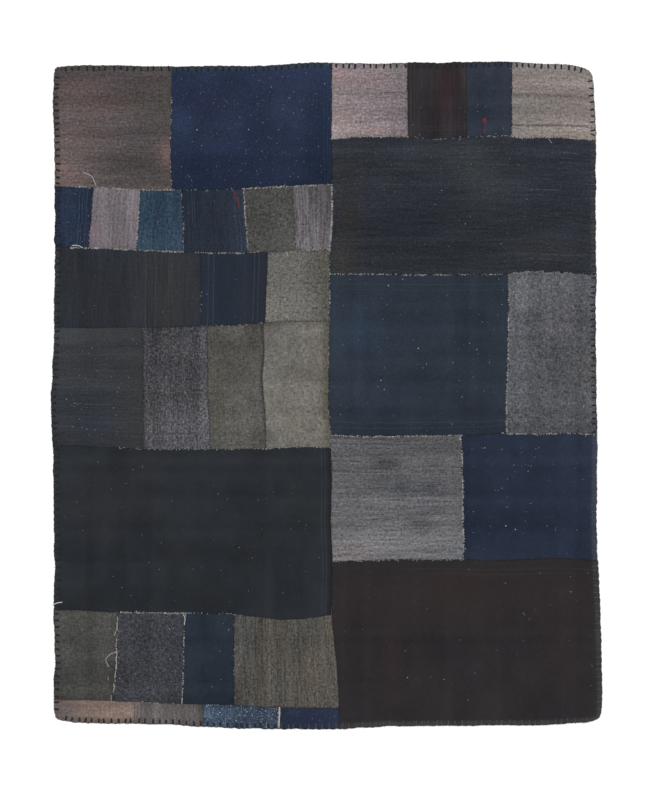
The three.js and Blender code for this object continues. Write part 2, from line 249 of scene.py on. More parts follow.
@dataclass(frozen=True)
class Stripe:
    """A thin line of another colour, mostly woven; a few are bands of painted shade along creases. The
    place is a share of the cloth's width, or of its length if level.

    It runs from one share of the cloth's other measure to another.
    """

    place: float
    width_mm: float
    colour: Colour
    strength: float = 0.4
    level: bool = False
    broken: float = 0.35
    start: float = -0.1
    end: float = 1.1
    wander_mm: float = 0.0


@dataclass(frozen=True)
class ClothLook:
    """How one cloth is dyed, woven and worn, with painted shade in a few of its blotches and lines.

    Colours are screen colours of 0 to 255. Corner tones are shares of the colour, given for the
    head left, head right, foot left and foot right corners. Mottle, streak and grain are how much
    the cloth changes in broad patches, along its yarns and from yarn to yarn.
    """

    name: str
    colour: Colour
    corner_tones: tuple[float, float, float, float]
    weave: Weave
    mottle: float
    streak: float
    grain: float
    sparkle: float = 0.03
    warmth: float = 0.02
    flecks: float = 0.0
    fleck_colour: Colour = (150, 150, 150)
    fleck_size: float = 1.0
    hem_colour: Colour | None = None
    stripes: tuple[Stripe, ...] = ()
    stains: tuple[Stain, ...] = ()


@dataclass(frozen=True)
class Crease:
    """A soft ridge or trough pressed into a cloth, at one place in the rug's own frame."""

    cloth: str
    level: bool
    place: float
    reach: float
    rise: float


CREASES = (
    Crease("pink_beige", True, 1.109, 0.010, 0.0026),
    Crease("pink_beige", True, 1.000, 0.009, 0.0024),
    Crease("bark_brown", False, -0.165, 0.022, -0.0014),
)


class SidePath:
    """One side of a cloth as a smooth line, asked for by share of its length."""

    STEP = 4 * MM
    EASE_STEPS, EASE_TIMES = 7, 2
    WANDERS = ((60 * MM, 1.5 * MM), (23 * MM, 1.1 * MM), (11 * MM, 0.6 * MM))
    ASIDE = 3.0
    HALF_RUN = 1.5

    def __init__(self, points: Array, wander: SoftNoise) -> None:
        """Take the side up at even steps, ease its kinks and let it wander as hand sewing does.

        Args:
            points: the side's corners, one row of two numbers each.
            wander: the noise that moves it, the same for both cloths at a seam.
        """
        spans = np.linalg.norm(np.diff(points, axis=0), axis=1)
        reached = np.concatenate([[0.0], np.cumsum(spans)])
        self.length = float(reached[-1])
        count = max(4, int(math.ceil(self.length / self.STEP)) + 1)
        places = np.linspace(0.0, self.length, count)
        line = np.column_stack([np.interp(places, reached, points[:, axis]) for axis in (0, 1)])
        for _ in range(self.EASE_TIMES):
            line = self._eased(line)
        for wave, reach in self.WANDERS:
            x, y = line[:, 0], line[:, 1]
            moves = [wander.at(x + self.ASIDE, y, wave, wave), wander.at(x, y + self.ASIDE, wave, wave)]
            line = line + reach * np.column_stack(moves)
        self.shares, self.reach = np.linspace(0.0, 1.0, count), self.HALF_RUN / count
        self.line = line

    def _eased(self, line: Array) -> Array:
        """Average each point with its neighbours, over less and less towards the ends.

        Args:
            line: the side's points.

        Returns:
            As many points, with the two ends where they were.
        """
        count = len(line)
        index = np.arange(count)
        reach = np.minimum(self.EASE_STEPS, np.minimum(index, count - 1 - index))
        total = np.vstack([np.zeros(2), np.cumsum(line, axis=0)])
        return (total[index + reach + 1] - total[index - reach]) / (2 * reach + 1)[:, None]

    def at(self, shares: Union[float, Array]) -> Array:
        """Points of the side at the given shares of its length."""
        return np.stack([np.interp(shares, self.shares, self.line[:, axis]) for axis in (0, 1)], -1)

    def direction(self, share: float) -> Array:
        """The way the side runs at a share of its length, as a unit vector."""
        run = self.at(min(share + self.reach, 1.0)) - self.at(max(share - self.reach, 0.0))
        return run / np.linalg.norm(run)

    def over(self, share: float) -> Array:
        """The way square over the side at a share of its length, to the left of its run."""
        run = self.direction(share)
        return np.array([-run[1], run[0]])

    def heading(self, share: float) -> float:
        """The way the side runs at a share of its length, in radians."""
        run = self.direction(share)
        return math.atan2(run[1], run[0])


@dataclass
class ClothOutline:
    """The outline of one cloth, read from the underside of its solid."""

    sides: dict[Side, SidePath]

    WELD = 1e-5
    FLOOR_LEVEL = 1e-4
    CORNER_WAYS = ((-1, -1), (1, -1), (1, 1), (-1, 1))

    @classmethod
    def of_node(cls, node: Piece, wander: SoftNoise) -> "ClothOutline":
        """Read a node's outline and part it at its four corners.

        Args:
            node: the solid's object, which is only read.
            wander: the noise that moves every side a little.

        Returns:
            The outline, each side running left to right or foot to head.
        """
        solid = bmesh.new()
        solid.from_mesh(node.data)
        bmesh.ops.remove_doubles(solid, verts=solid.verts, dist=cls.WELD)
        loop = cls._underside_loop(solid)
        solid.free()
        x, y = loop[:, 0], loop[:, 1]
        if np.sum(x * np.roll(y, -1) - np.roll(x, -1) * y) < 0:
            loop = loop[::-1]
        corners = [int(np.argmax(loop @ np.array(way))) for way in cls.CORNER_WAYS]
        foot_left, foot_right, head_right, head_left = corners
        sides = {
            FOOT: SidePath(cls._between(loop, foot_left, foot_right), wander),
            RIGHT: SidePath(cls._between(loop, foot_right, head_right), wander),
            HEAD: SidePath(cls._between(loop, head_right, head_left)[::-1], wander),
            LEFT: SidePath(cls._between(loop, head_left, foot_left)[::-1], wander),
        }
        return cls(sides)

    @classmethod
    def _underside_loop(cls, solid: bmesh.types.BMesh) -> Array:
        """Walk the rim of the faces that lie on the floor.

        Args:
            solid: the cloth's solid.

        Returns:
            The rim's corners in order, one row of two numbers each.
        """
        underside = {f for f in solid.faces if max(v.co.z for v in f.verts) < cls.FLOOR_LEVEL}
        rim = [e for e in solid.edges if sum(f in underside for f in e.link_faces) == 1]
        beside: dict[int, list[bmesh.types.BMVert]] = {}
        for edge in rim:
            first, second = edge.verts
            beside.setdefault(first.index, []).append(second)
            beside.setdefault(second.index, []).append(first)
        here, before = rim[0].verts
        loop = []
        for _ in rim:
            loop.append((here.co.x, here.co.y))
            one, other = beside[here.index]
            before, here = here, other if one is before else one
        return np.array(loop)

    @staticmethod
    def _between(loop: Array, start: int, end: int) -> Array:
        """Take the loop's points from one corner to the next.

        Args:
            loop: the whole loop.
            start: the first corner's number.
            end: the other corner's number.

        Returns:
            The points, with both corners.
        """
        if end <= start:
            return np.vstack([loop[start:], loop[: end + 1]])
        return loop[start : end + 1]


@dataclass
class HemStitches:
    """Where the edge yarn goes round one hem side, by shares of its length, and how it leans."""

    shares: Array
    slants: Array


class ClothGrid:
    """The places of one cloth's face, row by row from the foot, and where each lies on the cloth."""

    def __init__(self, places: Array, across: Array, up: Array) -> None:
        """Work out every place's shares of the cloth and its gap from each side.

        Args:
            places: the grid of places.
            across: each column's share of the cloth's width.
            up: each row's share of the cloth's length.
        """
        self.places, self.across, self.up = places, across, up
        self.x, self.y = places[:, :, 0], places[:, :, 1]
        self.u, self.v = np.meshgrid(across, up)
        edges = {LEFT: places[:, :1], RIGHT: places[:, -1:], FOOT: places[:1], HEAD: places[-1:]}
        self.gaps = {side: np.linalg.norm(places - edge, axis=2) for side, edge in edges.items()}


@dataclass
class Cloth:
    """One woven cloth of the rug, from its outline to its finished sheet."""

    look: ClothLook
    outline: ClothOutline
    hems: dict[Side, HemStitches]
    relief: SoftNoise
    grid: ClothGrid = field(init=False)
    piece: Piece = field(init=False)

    THICKNESS = 3.0 * MM
    PITCH = 6.6 * MM
    SEAM_RISE_MM = ((0.0, -0.8), (1.2, -0.4), (3.0, -0.1), (6.0, 0.12), (10.5, 0.18), (30.0, 0.0))
    HEM_RISE_MM = (
        (0.0, -0.9), (0.9, 0.35), (2.4, 1.25), (5.0, 1.75), (9.0, 1.8),
        (14.0, 1.7), (18.5, 1.35), (21.5, 0.5), (25.5, 0.05), (34.0, 0.0),
    )
    RIPPLE, RIPPLE_WAVE = 0.55 * MM, 22 * MM
    RIPPLE_REACH, RIPPLE_START = 9 * MM, 2 * MM
    SWELLS = ((0.30, 0.24, 0.45 * MM), (0.085, 0.075, 0.32 * MM), (0.030, 0.026, 0.10 * MM))
    CREASE_WAVE, CREASE_WANDER, CREASE_FALL = 60 * MM, 0.25, 2.2

    STITCH_WIDTH, STITCH_LENGTH = 5.0 * MM, 22 * MM
    STITCH_DENT, STITCH_PULL = 0.9 * MM, 2.4 * MM
    HEM_SWELL, EDGE_REACH = 1.7 * MM, 5 * MM
    EDGE_ROUGHNESS = ((52 * MM, 2.0 * MM), (17 * MM, 1.0 * MM))
    CORNER = 8 * MM

    HEM_FOLD, UNDER_FOLD = 20 * MM, 15 * MM
    UNDER_LIFT, UNDER_ROUND = 0.8 * MM, 1.1 * MM
    UNDER_CELL = 0.11
    SAME_PLACE, ON_THE_CUT = 0.01 * MM, 1e-7

    MOTTLE_WAVES = {Weave.ACROSS: (0.22, 0.05), Weave.UP: (0.05, 0.22), Weave.EVEN: (0.11, 0.11)}
    MOTTLE_SHIFT = (3.1, 1.7)
    BAND_SHARES = {Weave.ACROSS: (0.7, 0.2), Weave.UP: (0.2, 0.7), Weave.EVEN: (0.42, 0.42)}
    BAND_RUN, BAND_WAVE, BAND_SHIFT = 1.3, 0.03, 6.1
    WARMTH_STRETCH, WARMTH_SHIFT = 1.3, (-2.3, 4.9)
    WARMER = (1.0, 0.0, -1.0)
    # Edge darkening: painted shade of the hems' rounded rims, and on the seams partly painted shade of the
    # drawn-in edges, partly grime.
    HEM_SHADE, SEAM_SHADE = (0.20, 3 * MM), (0.09, 3 * MM)
    HEM_BAND, HEM_BAND_FALL = 17 * MM, 8
    HEM_TINT, HEM_TINT_PATCHES = 0.68, 0.3
    HEM_TINT_WAVES, HEM_TINT_SHIFT = (0.04, 0.04), (8.2, 0.0)
    STAIN_FALL, STAIN_RAGGED = 1.4, 0.9
    STAIN_WAVES, STAIN_SHIFT = (0.07, 0.05), (5.5, -3.3)

    def width(self) -> float:
        """Mean finished width of the cloth."""
        return (self.outline.sides[FOOT].length + self.outline.sides[HEAD].length) / 2

    def length(self) -> float:
        """Mean finished length of the cloth."""
        return (self.outline.sides[LEFT].length + self.outline.sides[RIGHT].length) / 2

    def cut_size(self) -> tuple[float, float]:
        """Flat size of the cut cloth, with what is turned under as a hem."""
        folds = sum(not side.level for side in self.hems), sum(side.level for side in self.hems)
        return self.width() + folds[0] * self.HEM_FOLD, self.length() + folds[1] * self.HEM_FOLD

    def _rise_mm(self, side: Side) -> tuple[tuple[float, float], ...]:
        """How the face rises from a side: distances in from it, each with its rise."""
        return self.HEM_RISE_MM if side in self.hems else self.SEAM_RISE_MM

    def _shares(self, length: float, start: Side, end: Side) -> Array:
        """Grid lines between two opposite sides, close together near both.

        Args:
            length: the distance between the sides.
            start: the side at the first line.
            end: the side at the last line.

        Returns:
            Each line's share of the length.
        """
        first, last = (np.array(self._rise_mm(side))[:-1, 0] * MM for side in (start, end))
        inner = length - first[-1] - last[-1]
        count = max(2, int(round(inner / self.PITCH)))
        middle = np.linspace(first[-1], length - last[-1], count + 1)
        return np.concatenate([first[:-1], middle, length - last[-2::-1]]) / length

    def _plan(self) -> ClothGrid:
        """Blend the four sides into the cloth's face.

        Returns:
            The face's grid, before the stitches draw in its edge.
        """
        sides = self.outline.sides
        across = self._shares(self.width(), LEFT, RIGHT)
        up = self._shares(self.length(), FOOT, HEAD)
        u, v = across[None, :, None], up[:, None, None]
        foot, head = sides[FOOT].at(across)[None], sides[HEAD].at(across)[None]
        left, right = sides[LEFT].at(up)[:, None], sides[RIGHT].at(up)[:, None]
        blended = (1 - v) * foot + v * head + (1 - u) * left + u * right
        blended -= (1 - u) * (1 - v) * foot[:, :1] + u * (1 - v) * foot[:, -1:]
        blended -= (1 - u) * v * head[:, :1] + u * v * head[:, -1:]
        return ClothGrid(blended, across, up)

    def _stitch_pull(self, side: Side) -> Array:
        """How hard the nearest edge stitch pulls along one hem side.

        Args:
            side: the hem side.

        Returns:
            A value from 0 to 1 for each line of the grid that ends there, laid along the face.
        """
        shares = self.grid.across if side.level else self.grid.up
        away = np.abs(shares[:, None] - self.hems[side].shares[None]).min(axis=1)
        away *= self.outline.sides[side].length
        pull = np.exp(-((away / self.STITCH_WIDTH) ** 2))
        return pull[None, :] if side.level else pull[:, None]

    def _drawn_in(self) -> Array:
        """Scallop the outer edge where the yarn draws it in.

        Returns:
            The places, moved by a few millimetres near the rug's edge.
        """
        places = self.grid.places
        for side in self.hems:
            pull = self._stitch_pull(side) * self.STITCH_PULL - self.HEM_SWELL
            for wave, reach in self.EDGE_ROUGHNESS:
                pull = pull + self.relief.at(places[:, :, 0], places[:, :, 1], wave, wave) * reach
            pull = pull * np.exp(-self.grid.gaps[side] / self.EDGE_REACH)
            for other in self.hems:
                if other is not side:
                    pull = pull + self._corner_cut(self.grid.gaps[side], self.grid.gaps[other])
            places = places + pull[:, :, None] * np.array(side.value, float)
        return places

    def _corner_cut(self, gap: Array, other: Array) -> Array:
        """How far in a place moves when the square corner between two hems is made round.

        Args:
            gap: how far each place is from the hem that it moves away from.
            other: how far each place is from the other hem.

        Returns:
            The distance, which is nothing outside the corner.
        """
        near = np.clip(1 - gap / self.CORNER, 0.0, 1.0)
        near_other = np.clip(1 - other / self.CORNER, 0.0, 1.0)
        reach = np.hypot(near, near_other)
        stays = np.ones_like(reach)
        np.divide(np.maximum(near, near_other), reach, out=stays, where=reach > 0)
        return near * (1 - stays) * self.CORNER

    def _heights(self) -> Array:
        """Height of the cloth's face above the floor.

        Returns:
            One height for each place.
        """
        x, y = self.grid.x, self.grid.y
        height = np.full(x.shape, self.THICKNESS)
        hem_rise, dent = np.zeros(x.shape), np.zeros(x.shape)
        for side, gap in self.grid.gaps.items():
            insets, rises = zip(*self._rise_mm(side))
            rise = np.interp(gap / MM, insets, rises) * MM
            if side in self.hems:
                hem_rise = np.maximum(hem_rise, rise) + np.minimum(rise, 0.0)
                under = np.sqrt(np.clip(1.0 - gap / self.STITCH_LENGTH, 0.0, 1.0))
                dent = np.maximum(dent, self._stitch_pull(side) * under)
            else:
                height += rise
                ripple = self.relief.at(x, y, self.RIPPLE_WAVE, self.RIPPLE_WAVE)
                ripple *= np.exp(-gap / self.RIPPLE_REACH)
                height += ripple * self.RIPPLE * np.clip(gap / self.RIPPLE_START, 0.0, 1.0)
        height += hem_rise - dent * self.STITCH_DENT
        for wave_x, wave_y, rise in self.SWELLS:
            height += self.relief.at(x + wave_y, y - wave_x, wave_x, wave_y) * rise
        for crease in CREASES:
            if crease.cloth == self.look.name:
                height += self._crease(crease)
        return height

    def _crease(self, crease: Crease) -> Array:
        """Press in one crease, with its line wandering a little.

        Args:
            crease: the crease.

        Returns:
            How far it lifts or sinks each place.
        """
        wander = self.relief.at(self.grid.x, self.grid.y, self.CREASE_WAVE, self.CREASE_WAVE)
        wander *= crease.reach * self.CREASE_WANDER
        away = ((self.grid.y if crease.level else self.grid.x) - crease.place + wander) / crease.reach
        return crease.rise * np.exp(-(away**2) * self.CREASE_FALL)

    def _blotches(self, shift: tuple[float, float], waves: Sequence[float]) -> Array:
        """Layered noise over the face, read with a shift, so that no two uses of it look alike."""
        return self.relief.layered(self.grid.x + shift[0], self.grid.y + shift[1], *waves)

    def _tone(self) -> Array:
        """Shade the cloth from its corners, with its mottle and its bands.

        Returns:
            How bright each place is, as a share of the cloth's colour.
        """
        look, u, v = self.look, self.grid.u, self.grid.v
        head_left, head_right, foot_left, foot_right = look.corner_tones
        tone = (1 - v) * ((1 - u) * foot_left + u * foot_right)
        tone += v * ((1 - u) * head_left + u * head_right)
        mottle = self._blotches(self.MOTTLE_SHIFT, self.MOTTLE_WAVES[look.weave])
        level_share, upright_share = self.BAND_SHARES[look.weave]
        level = self.relief.at(self.grid.x + self.BAND_SHIFT, self.grid.y, self.BAND_RUN, self.BAND_WAVE)
        upright = self.relief.at(self.grid.x, self.grid.y + self.BAND_SHIFT, self.BAND_WAVE, self.BAND_RUN)
        bands = level * level_share + upright * upright_share
        return tone * (1 + look.mottle * mottle) * (1 + look.mottle * bands)

    @staticmethod
    def _blend(colour: Array, other: Colour, share: Array) -> Array:
        """Bring every place's colour nearer to another one by its share."""
        share = share[:, :, None]
        return colour * (1 - share) + np.asarray(other, float) * share

    def _dye(self) -> Array:
        """Colour of the cloth before its yarn shows, with painted shade along its hems and seams and in a
        few blotches.

        Returns:
            Linear red, green, blue and alpha for each place.
        """
        look = self.look
        colour = np.asarray(look.colour, float) * self._tone()[:, :, None]
        broad = [wave * self.WARMTH_STRETCH for wave in self.MOTTLE_WAVES[look.weave]]
        warmth = look.warmth * self._blotches(self.WARMTH_SHIFT, broad)
        colour *= 1 + warmth[:, :, None] * np.array(self.WARMER)
        # Painted shade: each side darkens towards its edge. On a hem it is the painted shade of the
        # rounded rim; on a seam it is partly painted shade of the drawn-in edge and partly grime.
        for side, gap in self.grid.gaps.items():
            worn, reach = self.HEM_SHADE if side in self.hems else self.SEAM_SHADE
            colour *= (1 - worn * np.exp(-gap / reach))[:, :, None]
            if look.hem_colour and side in self.hems:
                patches = self._blotches(self.HEM_TINT_SHIFT, self.HEM_TINT_WAVES)
                tint = self.HEM_TINT + self.HEM_TINT_PATCHES * patches
                share = tint / (1 + (gap / self.HEM_BAND) ** self.HEM_BAND_FALL)
                colour = self._blend(colour, look.hem_colour, share)
        ragged = np.exp(self.STAIN_RAGGED * self._blotches(self.STAIN_SHIFT, self.STAIN_WAVES))
        # Most blotches are stained patches; a few are painted shade along a crease or a seam.
        for stain in look.stains:
            away = ((self.grid.u - stain.across) / stain.reach_across) ** 2
            away += ((self.grid.v - stain.up) / stain.reach_up) ** 2
            share = stain.strength * np.exp(-away * self.STAIN_FALL * ragged)
            colour = self._blend(colour, stain.colour, share)
        return dyed(colour)

    def _face(self, places: Array, heights: Array) -> bmesh.types.BMesh:
        """Lay the grid out as the cloth's face and close it down to the floor.

        Args:
            places: the grid of places.
            heights: the height of the face at each.

        Returns:
            The closed cloth. Its first vertices are the face's, row by row from the foot.
        """
        rows, columns = heights.shape
        cloth = bmesh.new()
        bmesh.ops.create_grid(cloth, x_segments=columns - 1, y_segments=rows - 1, size=0.5)
        cells: Cells = {}
        for vert in cloth.verts:
            column = round((vert.co.x + 0.5) * (columns - 1))
            row = round((vert.co.y + 0.5) * (rows - 1))
            vert.co = (*places[row, column], heights[row, column])
            cells[vert] = (row, column)
        rounded = self.UNDER_ROUND if self.hems else 0.0
        cells = self._next_ring(cloth, cells)
        for vert, (row, column) in cells.items():
            right = (column == 0) - (column == columns - 1)
            ahead = (row == 0) - (row == rows - 1)
            vert.co = (vert.co.x + right * rounded, vert.co.y + ahead * rounded, 0.0)
        cells = self._next_ring(cloth, cells)
        fold_rows = self._fold_limits(places[:, columns // 2])
        fold_columns = self._fold_limits(places[rows // 2])
        for vert, (row, column) in cells.items():
            place = places[np.clip(row, *fold_rows), np.clip(column, *fold_columns)]
            vert.co = (*place, self.UNDER_LIFT)
        bmesh.ops.remove_doubles(cloth, verts=list(cells), dist=self.SAME_PLACE)
        inner = [edge for edge in cloth.edges if edge.is_boundary]
        under = bmesh.ops.edgeloop_fill(cloth, edges=inner)["faces"]
        self._part_underside(cloth, under[0])
        bmesh.ops.recalc_face_normals(cloth, faces=cloth.faces)
        return cloth

    @staticmethod
    def _next_ring(cloth: bmesh.types.BMesh, cells: Cells) -> Cells:
        """Extrude the open rim of the cloth.

        Args:
            cloth: the cloth so far.
            cells: the grid row and column of each vertex of its rim.

        Returns:
            The new rim's vertices, each with the row and column of the one it came from.
        """
        rim = [edge for edge in cloth.edges if edge.is_boundary]
        grown = bmesh.ops.extrude_edge_only(cloth, edges=rim)["geom"]
        ring: Cells = {}
        for vert in grown:
            if isinstance(vert, bmesh.types.BMVert):
                near = (edge.other_vert(vert) for edge in vert.link_edges)
                ring[vert] = next(cells[other] for other in near if other in cells)
        return ring

    def _fold_limits(self, line: Array) -> tuple[int, int]:
        """Find where the fold under the hems ends.

        Args:
            line: places along one line of the grid.

        Returns:
            The first and last place that lie further than the fold from the line's two ends.
        """
        from_start = np.linalg.norm(line - line[0], axis=1)
        from_end = np.linalg.norm(line - line[-1], axis=1)
        inside = np.flatnonzero((from_start > self.UNDER_FOLD) & (from_end > self.UNDER_FOLD))
        return int(inside[0]), int(inside[-1])

    def _part_underside(self, cloth: bmesh.types.BMesh, under: bmesh.types.BMFace) -> None:
        """Cut the underside into a few level pieces, so that its colour can change over it.

        Args:
            cloth: the closed cloth.
            under: its underside.
        """
        places = np.array([vert.co[:2] for vert in under.verts])
        low, high = places.min(axis=0), places.max(axis=0)
        part = [under, *under.edges, *under.verts]
        for axis, normal in enumerate(((1, 0, 0), (0, 1, 0))):
            count = max(1, int(round((high[axis] - low[axis]) / self.UNDER_CELL)))
            for place in np.linspace(low[axis], high[axis], count + 1)[1:-1]:
                part = bmesh.ops.bisect_plane(
                    cloth,
                    geom=part,
                    dist=self.ON_THE_CUT,
                    plane_co=Vector(normal) * float(place),
                    plane_no=normal,
                )["geom"]

    def build(self) -> Piece:
        """Make the finished sheet, with its cut-out map and its colours, painted shade included.

        Returns:
            The cloth's object, at the origin, with its place in its mesh.
        """
        self.grid = self._plan()
        places = self._drawn_in()
        cut = np.stack([self.grid.u * self.width(), self.grid.v * self.length()], axis=-1)
        cloth = self._face(places, self._heights())
        mesh = bpy.data.meshes.new(f"{self.look.name}_cloth")
        cloth.to_mesh(mesh)
        cloth.free()
        dye = self._dye()
        self._map_onto(mesh, places.reshape(-1, 2), cut.reshape(-1, 2), dye.reshape(-1, 4))
        mesh.shade_smooth()
        self.piece = placed(mesh.name, mesh)
        return self.piece

    def _map_onto(self, mesh: bpy.types.Mesh, places: Array, cut: Array, dye: Array) -> None:
        """Give every vertex its place on the flat cloth and its colour.

        Args:
            mesh: the finished mesh.
            places: the face's places, in the mesh's own order of its first vertices.
            cut: the same places on the flat cloth.
            dye: the same places' linear colours, painted shade included.
        """
        tree = KDTree(len(places))
        for index, place in enumerate(places):
            tree.insert((place[0], place[1], 0.0), index)
        tree.balance()
        count = len(mesh.vertices)
        flat, colours = np.zeros((count, 2)), np.ones((count, 4))
        for index, vert in enumerate(mesh.vertices):
            _, nearest, _ = tree.find((vert.co.x, vert.co.y, 0.0))
            flat[index] = cut[nearest] + (vert.co.x, vert.co.y) - places[nearest]
            colours[index] = dye[nearest]
        layer = mesh.uv_layers.new(name="cut")
        corners = np.zeros(len(mesh.loops), int)
        mesh.loops.foreach_get("vertex_index", corners)
        layer.data.foreach_set("uv", flat[corners].astype(np.float32).ravel())
        shade = mesh.color_attributes.new(name="dye", type="FLOAT_COLOR", domain="POINT")
        shade.data.foreach_set("color", colours.astype(np.float32).ravel())


Operand = Union["Shade", float]


class Shade:
    """A value on its way through a material's nodes, worked on with Python's own operators."""

    def __init__(self, bench: "Bench", socket: bpy.types.NodeSocket) -> None:
        """Hold the socket that gives the value."""
        self.bench = bench
        self.socket = socket

    def _maths(self, operation: str, *values: Operand) -> "Shade":
        """Add one Math node over the given values."""
        return self.bench.node("ShaderNodeMath", {"operation": operation}, dict(enumerate(values)))

    def __add__(self, other: Operand) -> "Shade":
        """Sum."""
        return self._maths("ADD", self, other)

    __radd__ = __add__

    def __sub__(self, other: Operand) -> "Shade":
        """Difference."""
        return self._maths("SUBTRACT", self, other)

    def __rsub__(self, other: Operand) -> "Shade":
        """Difference, reflected."""
        return self._maths("SUBTRACT", other, self)

    def __mul__(self, other: Operand) -> "Shade":
        """Product."""
        return self._maths("MULTIPLY", self, other)

    __rmul__ = __mul__

    def __truediv__(self, other: Operand) -> "Shade":
        """Quotient."""
        return self._maths("DIVIDE", self, other)

    def __lt__(self, other: Operand) -> "Shade":
        """One where the value is under the other."""
        return self._maths("LESS_THAN", self, other)

    def sine(self) -> "Shade":
        """Sine of an angle in radians."""
        return self._maths("SINE", self)

    def size(self) -> "Shade":
        """The value without its sign."""
        return self._maths("ABSOLUTE", self)

    def between(self, low: float, high: float) -> "Shade":
        """Ease from 0 at low to 1 at high."""
        inputs = {"Value": self, "From Min": low, "From Max": high}
        return self.bench.node("ShaderNodeMapRange", {"interpolation_type": "SMOOTHSTEP"}, inputs)

    def output(self, name: str) -> "Shade":
        """Another output of the node that gives this value."""
        return Shade(self.bench, self.socket.node.outputs[name])


class Bench:
    """Makes one material, node by node."""

    NOISE_ROUGHNESS = 0.6
    SEED_TURN = 1.7

    def __init__(self, name: str) -> None:
        """Start an empty material with its surface shader.

        Args:
            name: the material's name.
        """
        self.material = bpy.data.materials.new(name)
        self.material.use_nodes = True
        self.tree = self.material.node_tree
        self.tree.nodes.clear()
        result = self.tree.nodes.new("ShaderNodeOutputMaterial")
        self.surface = self.tree.nodes.new("ShaderNodeBsdfPrincipled")
        self.tree.links.new(self.surface.outputs[0], result.inputs["Surface"])

    def node(
        self,
        kind: str,
        settings: dict | None = None,
        inputs: dict | None = None,
        output: Union[int, str] = 0,
    ) -> Shade:
        """Add a node, set it up and fill or link its sockets.

        Args:
            kind: the node's type.
            settings: its own settings, which are made first.
            inputs: values or shades by socket name or number.
            output: which of its outputs to hand on.

        Returns:
            The chosen output.
        """
        node = self.tree.nodes.new(kind)
        for name, value in (settings or {}).items():
            setattr(node, name, value)
        for key, value in (inputs or {}).items():
            self.feed(node.inputs[key], value)
        return Shade(self, node.outputs[output])

    def feed(self, socket: bpy.types.NodeSocket, value: Union[Shade, float, Sequence]) -> None:
        """Link a shade to a socket, or set the socket's own value.

        Args:
            socket: the socket to fill.
            value: a shade, or the value to set.
        """
        if isinstance(value, Shade):
            self.tree.links.new(value.socket, socket)
        else:
            socket.default_value = value

    def noise(self, place: Shade, scale: Sequence[float], seed: float, detail: float) -> Shade:
        """Noise about zero, stretched over the cloth.

        Args:
            place: the place on the cloth, in metres.
            scale: repeats for each metre across and along.
            seed: how far the pattern is shifted.
            detail: how many finer layers it has.

        Returns:
            A value from about -0.5 to 0.5.
        """
        shift = (seed, seed * self.SEED_TURN, seed)
        spread = {"Vector": place, "Scale": (*scale, 1.0), "Location": shift}
        inputs = {
            "Vector": self.node("ShaderNodeMapping", {}, spread),
            "Scale": 1.0,
            "Detail": detail,
            "Roughness": self.NOISE_ROUGHNESS,
        }
        return self.node("ShaderNodeTexNoise", {"noise_dimensions": "2D"}, inputs) - 0.5

    def mix(self, share: Operand, first: Union[Shade, tuple], second: Union[Shade, tuple]) -> Shade:
        """Blend two colours by a share from 0 to 1."""
        settings = {"data_type": "RGBA", "clamp_factor": True}
        return self.node("ShaderNodeMix", settings, {0: share, 6: first, 7: second}, output=2)

    def scaled(self, colour: Shade, by: Shade) -> Shade:
        """Make a colour brighter or darker by a factor."""
        settings = {"operation": "SCALE"}
        return self.node("ShaderNodeVectorMath", settings, {0: colour, "Scale": by})

    def bump(self, height: Shade, strength: float) -> Shade:
        """Bend the surface's normal over a height in metres."""
        inputs = {"Strength": strength, "Distance": 1.0, "Height": height}
        return self.node("ShaderNodeBump", {}, inputs)

    def dress(self, values: dict[str, Union[Shade, float, Sequence]]) -> bpy.types.Material:
        """Feed the surface shader.

        Args:
            values: a shade or a value for each socket's name.

        Returns:
            The finished material.
        """
        for name, value in values.items():
            self.feed(self.surface.inputs[name], value)
        return self.material


